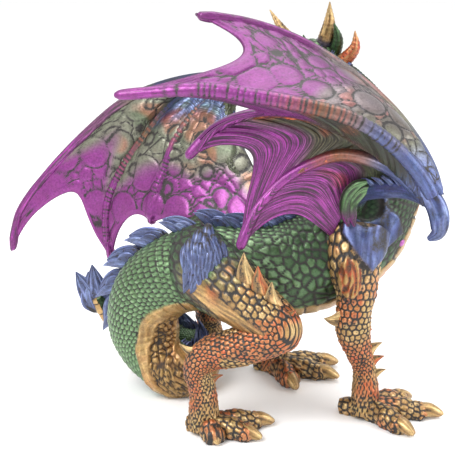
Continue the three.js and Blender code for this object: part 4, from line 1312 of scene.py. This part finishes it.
def studio():
    """A pale floor that runs out to white, soft light from above and both sides, and the camera
    at the height and distance of the photograph."""
    scene = bpy.context.scene
    target = in_part(LOOK_AT)

    def place_(obj, place):
        """Puts an object at a place of the drawing frame, turned to the statue."""
        obj.location = in_part(place)
        turn = (Vector(target) - obj.location).to_track_quat("-Z", "Y")
        obj.rotation_euler = turn.to_euler()
        scene.collection.objects.link(obj)

    mesh = bpy.data.meshes.new("floor")
    corners = [(-FLOOR_REACH, -FLOOR_REACH, 0), (FLOOR_REACH, -FLOOR_REACH, 0),
               (FLOOR_REACH, FLOOR_REACH, 0), (-FLOOR_REACH, FLOOR_REACH, 0)]
    mesh.from_pydata(corners, [], [(0, 1, 2, 3)])
    floor = bpy.data.objects.new("floor", mesh)
    scene.collection.objects.link(floor)
    pale = bpy.data.materials.new("pale_floor")
    pale.use_nodes = True
    shader = pale.node_tree.nodes["Principled BSDF"]
    shader.inputs["Base Color"].default_value = (0.97, 0.97, 0.97, 1)
    shader.inputs["Roughness"].default_value = 0.7
    mesh.materials.append(pale)

    world = bpy.data.worlds.new("studio")
    world.use_nodes = True
    world.node_tree.nodes["Background"].inputs["Color"].default_value = (1, 1, 1, 1)
    world.node_tree.nodes["Background"].inputs["Strength"].default_value = 1.0
    scene.world = world
    for name, place, size, power in LIGHTS:
        data = bpy.data.lights.new(name, "AREA")
        data.size, data.energy = size, power
        place_(bpy.data.objects.new(name, data), place)

    data = bpy.data.cameras.new("camera")
    data.lens, data.sensor_width = 100, 36
    data.clip_start, data.clip_end = 0.01, 20
    scene.camera = bpy.data.objects.new("camera", data)
    back = CAMERA_DISTANCE * np.array([0, -np.cos(CAMERA_RISE), np.sin(CAMERA_RISE)])
    place_(scene.camera, np.array(LOOK_AT) + back)
    scene.view_settings.view_transform = "Standard"


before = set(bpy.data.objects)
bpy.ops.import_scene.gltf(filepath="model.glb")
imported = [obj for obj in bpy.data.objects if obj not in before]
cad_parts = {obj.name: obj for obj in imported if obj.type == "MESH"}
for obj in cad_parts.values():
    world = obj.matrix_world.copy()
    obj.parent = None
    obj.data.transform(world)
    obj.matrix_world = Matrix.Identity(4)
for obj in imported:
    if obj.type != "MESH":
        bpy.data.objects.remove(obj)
cad_box = [list(corner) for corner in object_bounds()]
# Nothing reaches past the cast solid's own box.
LIMITS = [np.array(cad_box[0]) + 0.02 * MM, np.array(cad_box[1]) - 0.02 * MM]
studio()
shared = wash_group()
# Each finish has its own bump and coat.
finishes = {name: painted(name, shared, bump, coat) for name, bump, coat in (
    ("green_scales", 0.55, 0.15), ("gold_limbs", 0.6, 0.2), ("wing_skin", 0.5, 0.25),
    ("blue_fins", 0.45, 0.2))}

trunk = trunk_skin()
tail_ring = int(TAIL_FROM * trunk.size[0])
near_wing, far_wing = WINGS["right"], WINGS["left"]
for name, slot, skins in (
    ("trunk_front", "green_scales", [part_of(trunk, 0, tail_ring + 1)]),
    ("trunk_tail", "green_scales", [part_of(trunk, tail_ring, trunk.size[0])]),
    ("crest", "blue_fins", back_fins() + tuft() + body_details()),
    ("legs_right", "gold_limbs",
     leg_skins("hind_right") + leg_skins("fore_right") + limb_spikes(True)),
    ("legs_left", "gold_limbs",
     leg_skins("hind_left") + leg_skins("fore_left") + limb_spikes(False)),
    ("wing_right", "wing_skin", [fan_skin(near_wing, near_wing_paint, 150, 46)]
     + finger_skins(near_wing, near_wing_paint, (0, 1, 0.35, 0.35))),
    ("wing_left", "wing_skin", [fan_skin(far_wing, far_wing_paint, 140, 50)]
     + finger_skins(far_wing, far_wing_paint, (0.2, 1, 1))),
    ("wing_arms", "blue_fins", arm_skins(near_wing, 71, BLUES)
     + arm_skins(far_wing, 72, ("dark_green", "olive", "pale_olive"), True)),
    ("head", "green_scales", head_skins()),
):
    piece(name, skins, finishes[slot])
